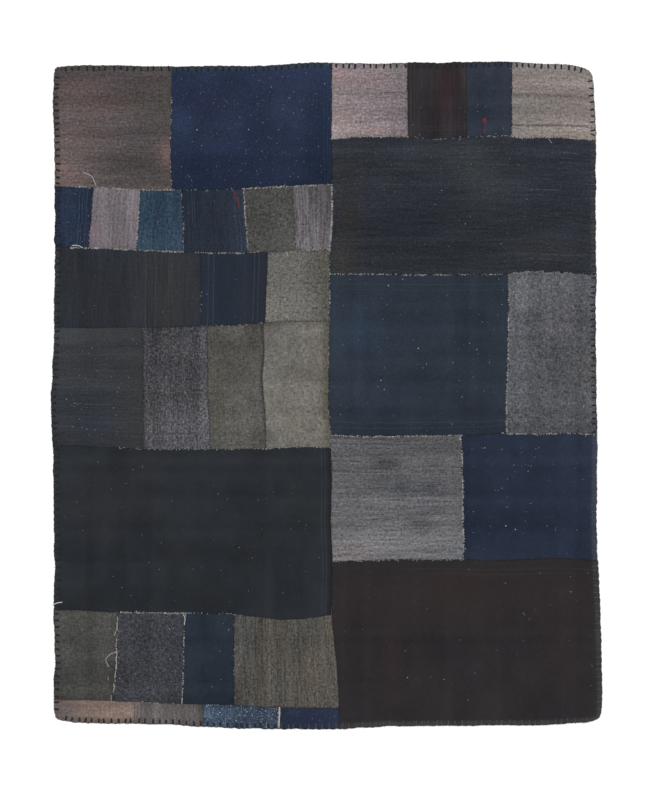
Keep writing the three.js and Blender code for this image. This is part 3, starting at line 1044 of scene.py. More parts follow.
class ClothFinish:
    """Makes the woven wool material of a cloth from its look."""

    WARP_PITCH, WEFT_PITCH = 2.6 * MM, 2.1 * MM
    WEAVE_SHADE, WEAVE_DEPTH = 0.10, 0.45 * MM
    GRAIN_DEPTH, BUMP_STRENGTH = 0.9 * MM, 0.55
    ROUGHNESS, GRAIN_GLOSS = 0.93, 0.12
    SPECULAR, SHEEN, SHEEN_ROUGHNESS = 0.1, 0.03, 0.5
    NOISE_SPREAD = 0.12

    FIBRES, FIBRE_SHARE = (420.0, 460.0), 0.3
    SPECKS, SPECK_SHARE, SPECK_SEED = (120.0, 120.0), 0.85, 1.9
    WEFT_SLUBS, WEFT_SEED = (48.0, 235.0), 3.7
    WARP_SLUBS, WARP_SEED = (235.0, 48.0), 5.3
    SLUB_SHARES = {Weave.ACROSS: (0.65, 0.2), Weave.UP: (0.2, 0.65), Weave.EVEN: (0.5, 0.5)}
    STREAK_SCALES = {Weave.ACROSS: (6.0, 125.0), Weave.UP: (125.0, 6.0), Weave.EVEN: (60.0, 60.0)}
    STREAK_SEED = 9.1

    FLECK_CELLS = 150.0
    FLECK_SIZE, FLECK_GROWTH, FLECK_SOFTNESS = 0.10, 0.16, 0.6
    FLECK_STRENGTH, FLECK_STRENGTHS = 0.35, 0.6
    STRIPE_SOFTNESS, STRIPE_FADE = (0.5, 1.5), 0.7
    WANDER_SCALE = (11.0, 11.0)
    LEVEL_GAPS, UPRIGHT_GAPS, GAP_SEED = (70.0, 20.0), (20.0, 70.0), 50.0
    GAP_DEPTH, GAP_EDGE = -6.0, (0.2, 1.0)

    def __init__(self, look: ClothLook, width: float, length: float, seed: float) -> None:
        """Keep what the finish is made from, and lay out the places on the cloth.

        Args:
            look: the cloth's look.
            width: the cloth's finished width.
            length: the cloth's finished length.
            seed: a number of its own, so that no two cloths share a pattern.
        """
        self.look, self.seed = look, seed
        self.width, self.length = width, length
        self.bench = Bench(f"{look.name}_wool")
        self.place = self.bench.node("ShaderNodeUVMap", {"uv_map": "cut"})
        parts = self.bench.node("ShaderNodeSeparateXYZ", {}, {0: self.place})
        self.across, self.along = parts.output("X"), parts.output("Y")

    def make(self) -> bpy.types.Material:
        """Build the material.

        Returns:
            The cloth's material.
        """
        look, bench = self.look, self.bench
        weave, grain, streak = self._weave(), self._grain(), self._streak()
        colour = bench.node("ShaderNodeAttribute", {"attribute_name": "dye"}, output="Color")
        for stripe in look.stripes:
            colour = self._striped(colour, stripe)
        uneven = grain * (1 / self.NOISE_SPREAD)
        tone = 1.0 + uneven * look.grain + streak * (look.streak / self.NOISE_SPREAD)
        tone = tone + (uneven * uneven - 1.0) * (look.grain * look.sparkle)
        tone = tone + weave * self.WEAVE_SHADE
        colour = bench.scaled(colour, tone)
        if look.flecks > 0:
            colour = bench.mix(self._flecks(), colour, tuple(dyed(look.fleck_colour)))
        height = weave * self.WEAVE_DEPTH + grain * self.GRAIN_DEPTH
        return bench.dress({
            "Base Color": colour,
            "Roughness": self.ROUGHNESS - grain * self.GRAIN_GLOSS,
            "Specular IOR Level": self.SPECULAR,
            "Sheen Weight": self.SHEEN,
            "Sheen Roughness": self.SHEEN_ROUGHNESS,
            "Normal": bench.bump(height, self.BUMP_STRENGTH),
        })

    def _weave(self) -> Shade:
        """Plain weave: yarn that goes over and under, from -1 to 1."""
        warp = (self.across * (math.pi / self.WARP_PITCH)).sine()
        return warp * (self.along * (math.pi / self.WEFT_PITCH)).sine()

    def _noise(self, scale: tuple[float, float], seed: float, detail: float) -> Shade:
        """Noise over the cloth, shifted by the cloth's own seed and one more."""
        return self.bench.noise(self.place, scale, self.seed + seed, detail)

    def _grain(self) -> Shade:
        """Mix the uneven yarn, thread by thread.

        Returns:
            A value about zero.
        """
        weft_share, warp_share = self.SLUB_SHARES[self.look.weave]
        grain = self._noise(self.FIBRES, 0.0, 1.0) * self.FIBRE_SHARE
        grain = grain + self._noise(self.SPECKS, self.SPECK_SEED, 1.0) * self.SPECK_SHARE
        grain = grain + self._noise(self.WEFT_SLUBS, self.WEFT_SEED, 2.0) * weft_share
        return grain + self._noise(self.WARP_SLUBS, self.WARP_SEED, 2.0) * warp_share

    def _streak(self) -> Shade:
        """Long streaks where one yarn was dyed or worn unlike the next."""
        return self._noise(self.STREAK_SCALES[self.look.weave], self.STREAK_SEED, 2.0)

    def _flecks(self) -> Shade:
        """Scatter small pale flecks of undyed wool.

        Returns:
            How much of a fleck each place is, from 0 to 1.
        """
        inputs = {"Vector": self.place, "Scale": self.FLECK_CELLS}
        cells = self.bench.node("ShaderNodeTexVoronoi", {"voronoi_dimensions": "2D"}, inputs)
        chance = self.bench.node("ShaderNodeSeparateColor", {}, {0: cells.output("Color")})
        size = self.FLECK_SIZE + chance.output("Green") * self.FLECK_GROWTH
        inside = 1.0 - (cells / (size * self.look.fleck_size)).between(self.FLECK_SOFTNESS, 1.0)
        strength = self.FLECK_STRENGTH + chance.output("Blue") * self.FLECK_STRENGTHS
        return (chance < self.look.flecks) * inside * strength

    def _striped(self, colour: Shade, stripe: Stripe) -> Shade:
        """Lay one thin line over the colour; most are woven, a few are bands of painted shade along
        creases.

        Args:
            colour: the colour so far.
            stripe: the line.

        Returns:
            The colour with the line in it.
        """
        measures = [(self.across, self.width), (self.along, self.length)]
        (axis, extent), (other, run) = reversed(measures) if stripe.level else measures
        half = stripe.width_mm * MM / 2
        if stripe.wander_mm > 0:
            wander = self._noise(self.WANDER_SCALE, stripe.place, 2.0)
            axis = axis + wander * (2 * stripe.wander_mm * MM)
        away = (axis - stripe.place * extent).size()
        line = 1.0 - away.between(*(half * edge for edge in self.STRIPE_SOFTNESS))
        if stripe.end - stripe.start < 1.0:
            beyond = (other - (stripe.start + stripe.end) / 2 * run).size()
            reach = (stripe.end - stripe.start) / 2 * run
            line = line * (1.0 - beyond.between(reach * self.STRIPE_FADE, reach))
        scale = self.LEVEL_GAPS if stripe.level else self.UPRIGHT_GAPS
        gaps = self._noise(scale, stripe.place * self.GAP_SEED, 1.0)
        share = line * stripe.strength
        share = share * (1.0 - (gaps * self.GAP_DEPTH * stripe.broken).between(*self.GAP_EDGE))
        return self.bench.mix(share, colour, tuple(dyed(stripe.colour)))


@dataclass(frozen=True)
class YarnFinish:
    """A matt spun yarn in one colour, a little uneven."""

    name: str
    colour: Colour

    FIBRES, FIBRE_SEED, FIBRE_TONE = (900.0, 900.0), 2.0, 0.7
    PATCHES, PATCH_SEED, PATCH_TONE = (35.0, 35.0), 5.0, 0.525
    ROUGHNESS, SPECULAR = 0.95, 0.15
    FIBRE_DEPTH, BUMP_STRENGTH = 0.5 * MM, 0.5

    def make(self) -> bpy.types.Material:
        """Build the yarn's material.

        Returns:
            The material.
        """
        bench = Bench(self.name)
        place = bench.node("ShaderNodeTexCoord", output="Object")
        fibre = bench.noise(place, self.FIBRES, self.FIBRE_SEED, 2.0)
        patches = bench.noise(place, self.PATCHES, self.PATCH_SEED, 1.0)
        base = bench.node("ShaderNodeRGB")
        base.socket.default_value = tuple(dyed(self.colour))
        tone = 1.0 + fibre * self.FIBRE_TONE + patches * self.PATCH_TONE
        return bench.dress({
            "Base Color": bench.scaled(base, tone),
            "Roughness": self.ROUGHNESS,
            "Specular IOR Level": self.SPECULAR,
            "Normal": bench.bump(fibre * self.FIBRE_DEPTH, self.BUMP_STRENGTH),
        })


CHARCOAL_YARN = YarnFinish("charcoal_yarn", (44, 45, 48))
GREYED_YARN = YarnFinish("greyed_yarn", (69, 70, 72))
BROWN_WOOL = YarnFinish("brown_wool", (58, 50, 44))
LINT_WOOL = YarnFinish("lint_wool", (168, 171, 176))
PALE_WOOL = YarnFinish("pale_wool", (190, 187, 184))
WORN_WOOL = YarnFinish("worn_wool", (176, 173, 170))
RED_WOOL = YarnFinish("red_wool", (156, 50, 62))


@dataclass
class YarnWork:
    """Sewing made of many short yarns, gathered into one piece."""

    name: str
    sides: int
    strands: list[tuple[Array, Array]] = field(default_factory=list)

    def lay(self, points: Array, radius: Union[float, Array]) -> None:
        """Add one yarn by its middle line and its radius, which may change from point to point."""
        self.strands.append((points, np.broadcast_to(radius, len(points))))

    def build(self) -> Piece:
        """Make the piece as one mesh, with every yarn closed at both ends.

        Returns:
            The piece's object.
        """
        curve = bpy.data.curves.new(self.name, "CURVE")
        curve.dimensions = "3D"
        curve.bevel_depth = 1.0
        curve.bevel_resolution = self.sides // 2 - 2
        curve.use_fill_caps = True
        for points, radii in self.strands:
            spline = curve.splines.new("POLY")
            spline.points.add(len(points) - 1)
            flat = np.column_stack([points, np.ones(len(points))])
            spline.points.foreach_set("co", flat.ravel())
            spline.points.foreach_set("radius", radii)
        holder = placed(self.name, curve)
        bpy.context.view_layer.update()
        evaluated = holder.evaluated_get(bpy.context.evaluated_depsgraph_get())
        mesh = bpy.data.meshes.new_from_object(evaluated)
        bpy.data.objects.remove(holder)
        mesh.name = self.name
        mesh.shade_smooth()
        return placed(self.name, mesh)


LOOKS = (
    ClothLook(
        "rose_brown", (86, 78, 78), (1.0, 0.9, 1.18, 0.97), Weave.ACROSS, 0.1, 0.08, 0.169, sparkle=0.07,
        warmth=0.04, hem_colour=(66, 64, 61),
        stains=(
            Stain(0.97, 0.29, 0.075, 0.12, (150, 112, 108), 0.8),
            Stain(0.9, 0.22, 0.06, 0.05, (120, 96, 92)),
            Stain(0.08, 0.12, 0.22, 0.17, (118, 98, 95), 0.6),
            Stain(0.05, 0.17, 0.09, 0.025, (140, 108, 102), 0.6),
            Stain(0.3, 0.95, 0.1, 0.03, (112, 90, 90)), Stain(0.35, 0.62, 0.25, 0.04, (104, 86, 86)),
            Stain(0.05, 0.38, 0.34, 0.045, (122, 106, 100), 0.55),
            Stain(0.72, 0.2, 0.3, 0.12, (66, 63, 62), 0.75),
            Stain(0.72, 0.47, 0.26, 0.08, (66, 64, 70), 0.65),
            Stain(0.3, 0.97, 0.5, 0.05, (68, 67, 67), 0.6), Stain(0.28, 0.82, 0.28, 0.1, (104, 86, 86)),
            Stain(0.9, 0.62, 0.24, 0.46, (74, 73, 71), 0.6),
            Stain(0.25, 0.5, 0.3, 0.16, (86, 76, 75), 0.4),
        ),
    ),
    ClothLook(
        "linty_navy", (37, 45, 65), (1.1, 1.2, 0.99, 0.88), Weave.EVEN, 0.1, 0.026, 0.089, warmth=0.04,
        flecks=0.05, fleck_colour=(112, 118, 134), hem_colour=(54, 62, 70),
        stripes=(
            Stripe(0.955, 2.4, (50, 70, 84), 0.35), Stripe(0.975, 2.8, (48, 70, 84), 0.35),
            Stripe(0.99, 2.4, (52, 72, 84), 0.3),
        ),
        stains=(
            Stain(0.06, 0.55, 0.12, 0.16, (50, 62, 86), 0.6), Stain(0.7, 0.62, 0.12, 0.1, (52, 60, 80)),
            Stain(0.22, 0.72, 0.16, 0.12, (42, 44, 68)),
        ),
    ),
    ClothLook(
        "midnight_blue", (38, 47, 64), (1.0, 1.02, 1.02, 1.12), Weave.UP, 0.16, 0.093, 0.153,
        stripes=(
            Stripe(0.66, 3.0, (66, 78, 94), 0.5), Stripe(0.74, 3.0, (62, 74, 90)),
            Stripe(0.86, 4.0, (60, 72, 86), 0.35),
        ),
    ),
    ClothLook(
        "lavender_grey", (110, 104, 109), (1.06, 1.05, 0.91, 0.98), Weave.UP, 0.09, 0.11, 0.126,
        stains=(
            Stain(0.5, 0.86, 0.3, 0.16, (122, 114, 118)),
            Stain(0.05, 0.28, 0.16, 0.22, (128, 107, 114), 0.55),
        ),
    ),
    ClothLook(
        "teal_denim", (48, 63, 78), (0.98, 1.08, 1.06, 1.07), Weave.UP, 0.14, 0.13, 0.2, sparkle=0.14,
        stains=(
            Stain(0.16, 0.52, 0.22, 0.22, (38, 53, 72), 0.55),
            Stain(0.45, 0.55, 0.16, 0.35, (44, 56, 78)), Stain(0.5, 0.1, 0.6, 0.12, (58, 74, 88)),
        ),
    ),
    ClothLook(
        "slate_navy", (40, 47, 58), (1.03, 1.02, 1.09, 1.11), Weave.UP, 0.11, 0.068, 0.094, sparkle=0.13,
        stripes=(
            Stripe(0.155, 2.6, (62, 70, 78), broken=0.8), Stripe(0.195, 2.6, (60, 72, 80), broken=0.8),
            Stripe(0.845, 2.8, (74, 74, 82), 0.45, broken=0.8),
            Stripe(0.905, 2.8, (74, 78, 84), 0.45, broken=0.8), Stripe(0.965, 3.0, (62, 66, 74)),
        ),
        stains=(Stain(0.45, 0.55, 0.26, 0.45, (39, 44, 54), 0.6),),
    ),
    ClothLook("olive_grey", (71, 71, 69), (0.99, 1.0, 1.0, 1.12), Weave.EVEN, 0.12, 0.082, 0.203),
    ClothLook(
        "striped_mauve", (98, 95, 98), (0.86, 0.86, 1.09, 1.04), Weave.UP, 0.09, 0.22, 0.172,
        sparkle=0.07,
        stripes=(
            Stripe(0.1, 3.0, (78, 76, 84)), Stripe(0.72, 5.0, (78, 77, 82), 0.45),
            Stripe(0.8, 4.0, (80, 79, 84)),
        ),
        stains=(Stain(0.85, 0.18, 0.25, 0.25, (112, 102, 106), 0.4),),
    ),
    ClothLook(
        "blue_black", (46, 49, 55), (0.96, 1.08, 0.93, 1.09), Weave.UP, 0.08, 0.077, 0.071, sparkle=0.2,
        warmth=0.006, hem_colour=(56, 58, 60),
        stripes=(
            Stripe(0.625, 4.0, (70, 70, 68)), Stripe(0.69, 4.0, (72, 71, 69), 0.45),
            Stripe(0.78, 4.0, (68, 68, 68)),
        ),
        stains=(
            Stain(0.78, 0.5, 0.24, 0.9, (55, 55, 54), 0.6),
            Stain(0.36, 0.45, 0.26, 0.8, (43, 45, 51), 0.6),
        ),
    ),
    ClothLook(
        "lined_navy", (39, 45, 55), (1.06, 1.02, 1.03, 1.02), Weave.UP, 0.06, 0.03, 0.047,
        stripes=(
            Stripe(0.112, 2.6, (66, 72, 80), 0.5, broken=0.6),
            Stripe(0.192, 2.8, (72, 78, 84), 0.5, broken=0.6),
            Stripe(0.8, 2.8, (74, 78, 82), 0.5, broken=0.6),
            Stripe(0.873, 2.6, (68, 72, 76), 0.5, broken=0.6),
        ),
        stains=(Stain(0.13, 0.5, 0.08, 1.5, (42, 52, 68), 0.4), Stain(0.93, 0.5, 0.07, 1.5, (46, 44, 58))),
    ),
    ClothLook(
        "warm_grey", (105, 104, 100), (0.89, 0.9, 1.12, 0.89), Weave.EVEN, 0.09, 0.056, 0.205,
        stripes=(
            Stripe(0.8, 4.0, (84, 83, 76), 0.5), Stripe(0.87, 4.0, (84, 83, 76), 0.5),
            Stripe(0.95, 4.0, (86, 86, 80)),
        ),
        stains=(
            Stain(0.93, 0.6, 0.1, 1.0, (82, 81, 72), 0.85),
            Stain(0.08, 0.25, 0.14, 0.25, (120, 113, 106)), Stain(0.42, 0.32, 0.4, 0.3, (116, 112, 106)),
        ),
    ),
    ClothLook(
        "charcoal", (54, 56, 59), (1.11, 1.02, 0.94, 1.06), Weave.ACROSS, 0.09, 0.07, 0.08, sparkle=0.06,
        warmth=0.01, flecks=0.03, fleck_colour=(110, 112, 118),
        stripes=(
            Stripe(0.56, 2.6, (84, 86, 88), level=True, broken=1.2, start=0.35, end=0.7, wander_mm=1.5),
            Stripe(0.355, 2.6, (84, 84, 88), 0.45, level=True, broken=1.2, start=0.2, end=0.75),
            Stripe(
                0.775, 2.6, (76, 78, 78), 0.35,
                level=True, broken=1.2, start=0.1, end=0.9, wander_mm=1.5,
            ),
            Stripe(
                0.325, 2.6, (74, 74, 80), 0.35,
                level=True, broken=1.2, start=0.3, end=1.0, wander_mm=1.5,
            ),
        ),
        stains=(
            Stain(0.12, 0.93, 0.3, 0.1, (66, 68, 71)), Stain(0.4, 0.22, 0.4, 0.3, (46, 50, 60), 0.65),
            Stain(0.18, 0.88, 0.25, 0.14, (60, 62, 66)), Stain(0.9, 0.4, 0.16, 0.5, (58, 57, 58)),
            Stain(0.42, 0.72, 0.16, 0.2, (50, 52, 56)),
        ),
    ),
    ClothLook(
        "flecked_mauve", (74, 74, 78), (0.88, 0.91, 0.99, 1.24), Weave.UP, 0.22, 0.06, 0.31, sparkle=0.15,
        flecks=0.3, fleck_colour=(124, 124, 132),
        stains=(
            Stain(0.12, 0.55, 0.12, 0.35, (60, 61, 65)), Stain(0.7, 0.6, 0.35, 0.12, (62, 63, 68)),
            Stain(0.55, 0.44, 0.55, 0.035, (64, 60, 62), 0.6),
            Stain(0.55, 0.83, 0.5, 0.035, (84, 84, 90)), Stain(0.55, 0.72, 0.5, 0.03, (62, 63, 68), 0.45),
            Stain(0.65, 0.18, 0.45, 0.2, (90, 89, 94), 0.45),
        ),
    ),
    ClothLook(
        "moss_brown", (83, 82, 79), (0.93, 0.94, 1.05, 1.1), Weave.EVEN, 0.18, 0.085, 0.17, warmth=0.02,
        stripes=(Stripe(0.17, 4.5, (74, 70, 62), 0.35),),
        stains=(
            # The narrow dark blotch at the right edge is painted shadow along the right-hand seam.
            Stain(0.985, 0.62, 0.035, 0.55, (52, 52, 46), 0.75),
            Stain(0.15, 0.55, 0.1, 0.5, (88, 84, 74)), Stain(0.55, 0.58, 0.25, 0.14, (70, 68, 62), 0.45),
        ),
    ),
    ClothLook(
        "pale_stone", (108, 105, 100), (0.91, 0.93, 1.09, 0.98), Weave.EVEN, 0.21, 0.089, 0.135,
        warmth=0.02,
        stripes=(Stripe(0.925, 3.0, (88, 84, 72), 0.45), Stripe(0.955, 3.0, (90, 86, 76))),
        stains=(
            Stain(0.45, 0.16, 0.32, 0.2, (126, 121, 113), 0.6),
            Stain(0.5, 0.84, 0.5, 0.2, (103, 100, 95), 0.4), Stain(0.5, 0.4, 0.3, 0.16, (120, 115, 109)),
            Stain(0.965, 0.5, 0.05, 1.2, (86, 84, 72), 0.8),
            Stain(0.8, 0.72, 0.14, 0.12, (104, 96, 88), 0.4),
        ),
    ),
    ClothLook(
        "long_ink_black", (41, 44, 48), (1.03, 1.04, 0.98, 1.01), Weave.EVEN, 0.12, 0.023, 0.019,
        flecks=0.006, fleck_colour=(104, 106, 112), hem_colour=(52, 54, 56),
        stripes=(Stripe(0.965, 3.0, (62, 66, 70), 0.45), Stripe(0.978, 4.0, (58, 62, 66), 0.45)),
        stains=(Stain(1.0, 0.5, 0.016, 3.0, (35, 35, 36), 0.75), Stain(0.2, 0.7, 0.18, 0.2, (48, 46, 50))),
    ),
    ClothLook(
        "dark_olive", (68, 68, 66), (1.1, 1.04, 0.96, 0.98), Weave.EVEN, 0.13, 0.057, 0.154, sparkle=0.08,
        warmth=0.03,
    ),
    ClothLook(
        "heather_grey", (60, 61, 66), (1.1, 0.97, 1.04, 0.95), Weave.EVEN, 0.12, 0.095, 0.261,
        sparkle=0.15, flecks=0.12, fleck_colour=(98, 100, 106),
    ),
    ClothLook(
        "plain_navy", (41, 48, 57), (0.97, 1.09, 0.95, 0.94), Weave.EVEN, 0.17, 0.036, 0.045,
        sparkle=0.18,
    ),
    ClothLook(
        "bark_brown", (80, 78, 74), (1.01, 1.06, 0.99, 1.08), Weave.UP, 0.14, 0.15, 0.203, sparkle=0.06,
        warmth=0.05,
        stains=(
            # The narrow upright blotch at 0.47 is painted shade along the pressed crease.
            Stain(0.47, 0.5, 0.05, 0.7, (70, 69, 67)), Stain(0.75, 0.35, 0.25, 0.35, (90, 83, 76), 0.4),
        ),
    ),
    ClothLook(
        "pink_brown", (121, 106, 101), (0.88, 1.07, 0.8, 1.0), Weave.ACROSS, 0.15, 0.066, 0.131,
        sparkle=0.1, hem_colour=(92, 84, 80),
        stains=(
            Stain(0.5, 0.86, 0.25, 0.3, (136, 118, 108)), Stain(0.5, 0.04, 1.2, 0.14, (100, 88, 82), 0.6),
            Stain(0.06, 0.32, 0.2, 0.6, (92, 88, 87), 0.75), Stain(0.75, 0.5, 0.35, 0.5, (134, 114, 104)),
        ),
    ),
    ClothLook(
        "striped_grey", (89, 85, 84), (1.14, 0.92, 1.02, 0.93), Weave.UP, 0.15, 0.12, 0.133,
        stripes=(Stripe(0.4, 3.5, (122, 116, 112), 0.5),),
        stains=(Stain(0.05, 0.6, 0.1, 0.5, (112, 106, 104)),),
    ),
    ClothLook(
        "flecked_denim", (62, 73, 89), (1.07, 0.92, 1.19, 1.06), Weave.EVEN, 0.24, 0.071, 0.199,
        flecks=0.26, fleck_colour=(182, 192, 202), fleck_size=1.35,
    ),
    ClothLook(
        "violet_navy", (42, 50, 65), (0.92, 1.07, 0.96, 1.12), Weave.EVEN, 0.15, 0.036, 0.092,
        stains=(Stain(0.55, 0.5, 0.25, 0.4, (42, 42, 72), 0.6),),
    ),
    ClothLook(
        "pink_grey", (130, 120, 123), (1.01, 0.91, 1.06, 0.91), Weave.ACROSS, 0.13, 0.077, 0.189,
        sparkle=0.11, warmth=0.03,
        stains=(
            Stain(0.12, 0.86, 0.16, 0.1, (152, 122, 122), 0.6),
            Stain(0.45, 0.8, 0.25, 0.06, (146, 122, 124)),
            Stain(0.55, 0.1, 0.16, 0.09, (150, 126, 124), 0.6),
            Stain(0.12, 0.3, 0.12, 0.3, (150, 130, 128), 0.4),
            Stain(0.9, 0.9, 0.14, 0.14, (112, 110, 111), 0.7),
            Stain(0.88, 0.35, 0.12, 0.3, (118, 111, 117), 0.6),
            Stain(0.42, 0.48, 0.5, 0.17, (140, 128, 131), 0.45),
        ),
    ),
    ClothLook(
        "oxblood_brown", (49, 46, 50), (1.02, 1.12, 0.99, 1.0), Weave.UP, 0.18, 0.071, 0.045,
        sparkle=0.08,
        stripes=(
            Stripe(0.05, 3.0, (70, 68, 72), 0.5), Stripe(0.11, 3.0, (66, 64, 68), 0.45),
            Stripe(0.975, 3.0, (76, 62, 46), 0.6, broken=1.2), Stripe(0.8, 2.6, (66, 46, 46), 0.45),
            Stripe(0.87, 2.6, (66, 48, 44), 0.45), Stripe(0.92, 2.6, (62, 50, 42)),
            Stripe(0.16, 3.0, (62, 60, 64), 0.35, level=True),
            Stripe(0.11, 3.0, (62, 60, 64), 0.35, level=True),
        ),
        stains=(
            Stain(0.1, 0.6, 0.1, 0.6, (48, 48, 44)), Stain(0.5, 0.97, 0.7, 0.05, (46, 48, 44), 0.6),
            Stain(0.62, 0.7, 0.18, 0.5, (57, 42, 44), 0.55),
        ),
    ),
    ClothLook(
        "knotted_navy", (45, 51, 61), (1.11, 1.07, 1.0, 0.92), Weave.EVEN, 0.16, 0.033, 0.063,
        stains=(Stain(0.85, 0.45, 0.2, 0.4, (50, 48, 62), 0.4),),
    ),
    ClothLook(
        "pink_beige", (129, 121, 118), (0.99, 1.04, 0.94, 1.02), Weave.ACROSS, 0.14, 0.065, 0.165,
        warmth=0.03,
        stripes=(
            # The two wide level bands, at 0.568 and 0.172, are painted shade along the two pressed
            # creases.
            Stripe(0.568, 11.0, (96, 90, 84), 0.55, level=True, broken=0.7, wander_mm=3.5),
            Stripe(0.172, 8.0, (86, 80, 74), 0.7, level=True, broken=0.7, wander_mm=3.0),
            Stripe(0.225, 3.0, (104, 97, 91), 0.5, level=True, broken=1.2, wander_mm=3.0),
        ),
        stains=(
            Stain(0.6, 0.42, 0.4, 0.14, (134, 126, 121), 0.4),
            Stain(0.5, 0.615, 0.7, 0.02, (146, 138, 132)),
            Stain(0.5, 0.07, 0.7, 0.06, (142, 134, 127), 0.6),
            Stain(0.15, 0.4, 0.16, 0.2, (116, 114, 108), 0.6),
            Stain(0.8, 0.05, 0.2, 0.05, (140, 122, 110), 0.6),
            Stain(0.55, 0.06, 0.6, 0.05, (142, 134, 128)),
        ),
    ),
    ClothLook(
        "worn_charcoal", (44, 47, 53), (1.04, 1.05, 1.03, 1.1), Weave.ACROSS, 0.13, 0.1, 0.131,
        sparkle=0.14, warmth=0.008, flecks=0.012, fleck_colour=(112, 114, 118), hem_colour=(62, 63, 65),
        stripes=(
            Stripe(0.135, 2.6, (82, 80, 80), 0.45, level=True, broken=1.2, start=0.66, end=0.98),
            Stripe(0.185, 2.6, (72, 68, 70), level=True, broken=1.2, start=0.6, end=0.96),
            Stripe(0.3, 2.6, (70, 68, 66), 0.35, level=True, broken=1.2, start=0.0, end=0.2),
            Stripe(0.89, 2.6, (92, 94, 96), 0.45, level=True, broken=1.2, start=0.82, end=0.94),
            Stripe(0.815, 2.6, (92, 94, 96), 0.45, level=True, broken=1.2, start=0.86, end=0.96),
            Stripe(0.795, 2.6, (80, 82, 84), level=True, broken=1.0, start=0.58, end=0.72),
            Stripe(0.61, 2.6, (92, 94, 96), 0.5, level=True, broken=1.2, start=0.74, end=0.88),
            Stripe(0.655, 2.6, (76, 78, 80), level=True, broken=1.0, start=0.15, end=0.3),
        ),
        stains=(
            Stain(0.3, 0.4, 0.25, 0.22, (38, 41, 49), 0.6), Stain(0.88, 0.6, 0.14, 0.2, (40, 43, 52)),
            Stain(0.06, 0.45, 0.06, 0.4, (52, 49, 47)), Stain(0.6, 0.35, 0.2, 0.12, (46, 48, 49), 0.4),
            Stain(0.53, 0.8, 0.1, 0.22, (62, 66, 68), 0.6), Stain(0.4, 0.9, 0.2, 0.1, (56, 60, 64)),
            Stain(0.04, 0.12, 0.06, 0.16, (64, 62, 58), 0.6), Stain(0.6, 0.62, 0.08, 0.16, (56, 60, 62)),
            Stain(0.8, 0.15, 0.18, 0.12, (56, 56, 58)), Stain(0.45, 0.15, 0.25, 0.15, (40, 44, 49)),
        ),
    ),
    ClothLook(
        "large_teal_navy", (46, 53, 63), (1.06, 1.0, 0.99, 0.91), Weave.EVEN, 0.1, 0.028, 0.053,
        sparkle=0.1, flecks=0.006, fleck_colour=(116, 122, 128),
        stripes=(
            Stripe(0.083, 2.6, (64, 72, 74), level=True, broken=0.6),
            Stripe(0.05, 2.6, (62, 70, 74), level=True, broken=0.6),
            Stripe(0.94, 2.6, (60, 70, 74), level=True, broken=0.6),
            Stripe(0.905, 2.6, (60, 70, 74), 0.35, level=True, broken=0.6),
        ),
        stains=(Stain(0.16, 0.64, 0.12, 0.16, (48, 62, 80), 0.6),),
    ),
    ClothLook(
        "ash_grey", (81, 82, 86), (1.15, 1.08, 0.97, 0.93), Weave.EVEN, 0.15, 0.12, 0.21, sparkle=0.11,
        flecks=0.05, fleck_colour=(128, 128, 134),
        stains=(
            Stain(0.14, 0.86, 0.22, 0.14, (114, 114, 117), 0.62),
            Stain(0.52, 0.5, 0.28, 0.1, (72, 73, 78), 0.6),
            Stain(0.1, 0.4, 0.12, 0.5, (94, 94, 100), 0.4),
        ),
    ),
    ClothLook(
        "streaked_grey", (97, 97, 100), (0.9, 0.89, 1.17, 1.07), Weave.ACROSS, 0.1, 0.125, 0.184,
        sparkle=0.06,
        stripes=(
            Stripe(0.965, 3.0, (124, 124, 128), 0.5, level=True, broken=0.8, end=0.5, wander_mm=2.0),
            Stripe(0.925, 3.0, (122, 122, 126), 0.45, level=True, broken=0.8, end=0.42, wander_mm=2.0),
            Stripe(0.7, 3.0, (124, 122, 124), level=True, broken=1.2, wander_mm=2.0),
            Stripe(0.5, 3.5, (120, 118, 120), level=True, broken=1.2, wander_mm=2.0),
            Stripe(0.365, 3.5, (78, 79, 82), 0.5, level=True, broken=0.8, wander_mm=2.0),
        ),
        stains=(
            Stain(0.4, 0.785, 0.13, 0.06, (62, 63, 68), 0.7),
            Stain(0.78, 0.79, 0.1, 0.045, (74, 75, 79), 0.6),
            Stain(0.53, 0.58, 0.08, 0.045, (64, 65, 70), 0.75),
            Stain(0.75, 0.59, 0.1, 0.05, (64, 65, 70), 0.7),
            Stain(0.68, 0.3, 0.11, 0.09, (78, 78, 83), 0.65),
            Stain(0.07, 0.72, 0.12, 0.14, (80, 80, 84), 0.6),
            Stain(0.12, 0.07, 0.2, 0.08, (120, 110, 108), 0.6), Stain(0.5, 0.86, 0.6, 0.02, (78, 79, 82)),
            Stain(0.55, 0.12, 0.35, 0.06, (116, 114, 117)),
        ),
    ),
    ClothLook(
        "deep_navy", (40, 47, 62), (0.96, 1.12, 0.96, 1.02), Weave.EVEN, 0.12, 0.03, 0.042, flecks=0.01,
        fleck_colour=(112, 118, 130), hem_colour=(68, 74, 87),
    ),
    ClothLook(
        "large_black_brown", (46, 43, 45), (1.0, 0.99, 0.99, 1.0), Weave.EVEN, 0.09, 0.035, 0.015,
        flecks=0.003, fleck_colour=(110, 108, 110), hem_colour=(68, 67, 67),
        stripes=(
            Stripe(0.945, 3.0, (62, 57, 54), 0.5, level=True, start=0.2, wander_mm=2.0),
            Stripe(0.915, 3.0, (62, 57, 54), 0.5, level=True, start=0.3, end=0.98, wander_mm=2.0),
        ),
        stains=(
            Stain(0.21, 0.43, 0.04, 0.24, (55, 42, 45), 0.55),
            Stain(0.46, 0.83, 0.13, 0.12, (57, 44, 43)), Stain(0.8, 0.62, 0.05, 0.16, (54, 42, 45), 0.3),
            Stain(0.85, 0.45, 0.06, 0.3, (52, 42, 44), 0.3), Stain(0.5, 0.8, 0.8, 0.2, (50, 43, 43)),
            Stain(0.5, 0.97, 0.8, 0.03, (44, 44, 44), 0.6),
        ),
    ),
)


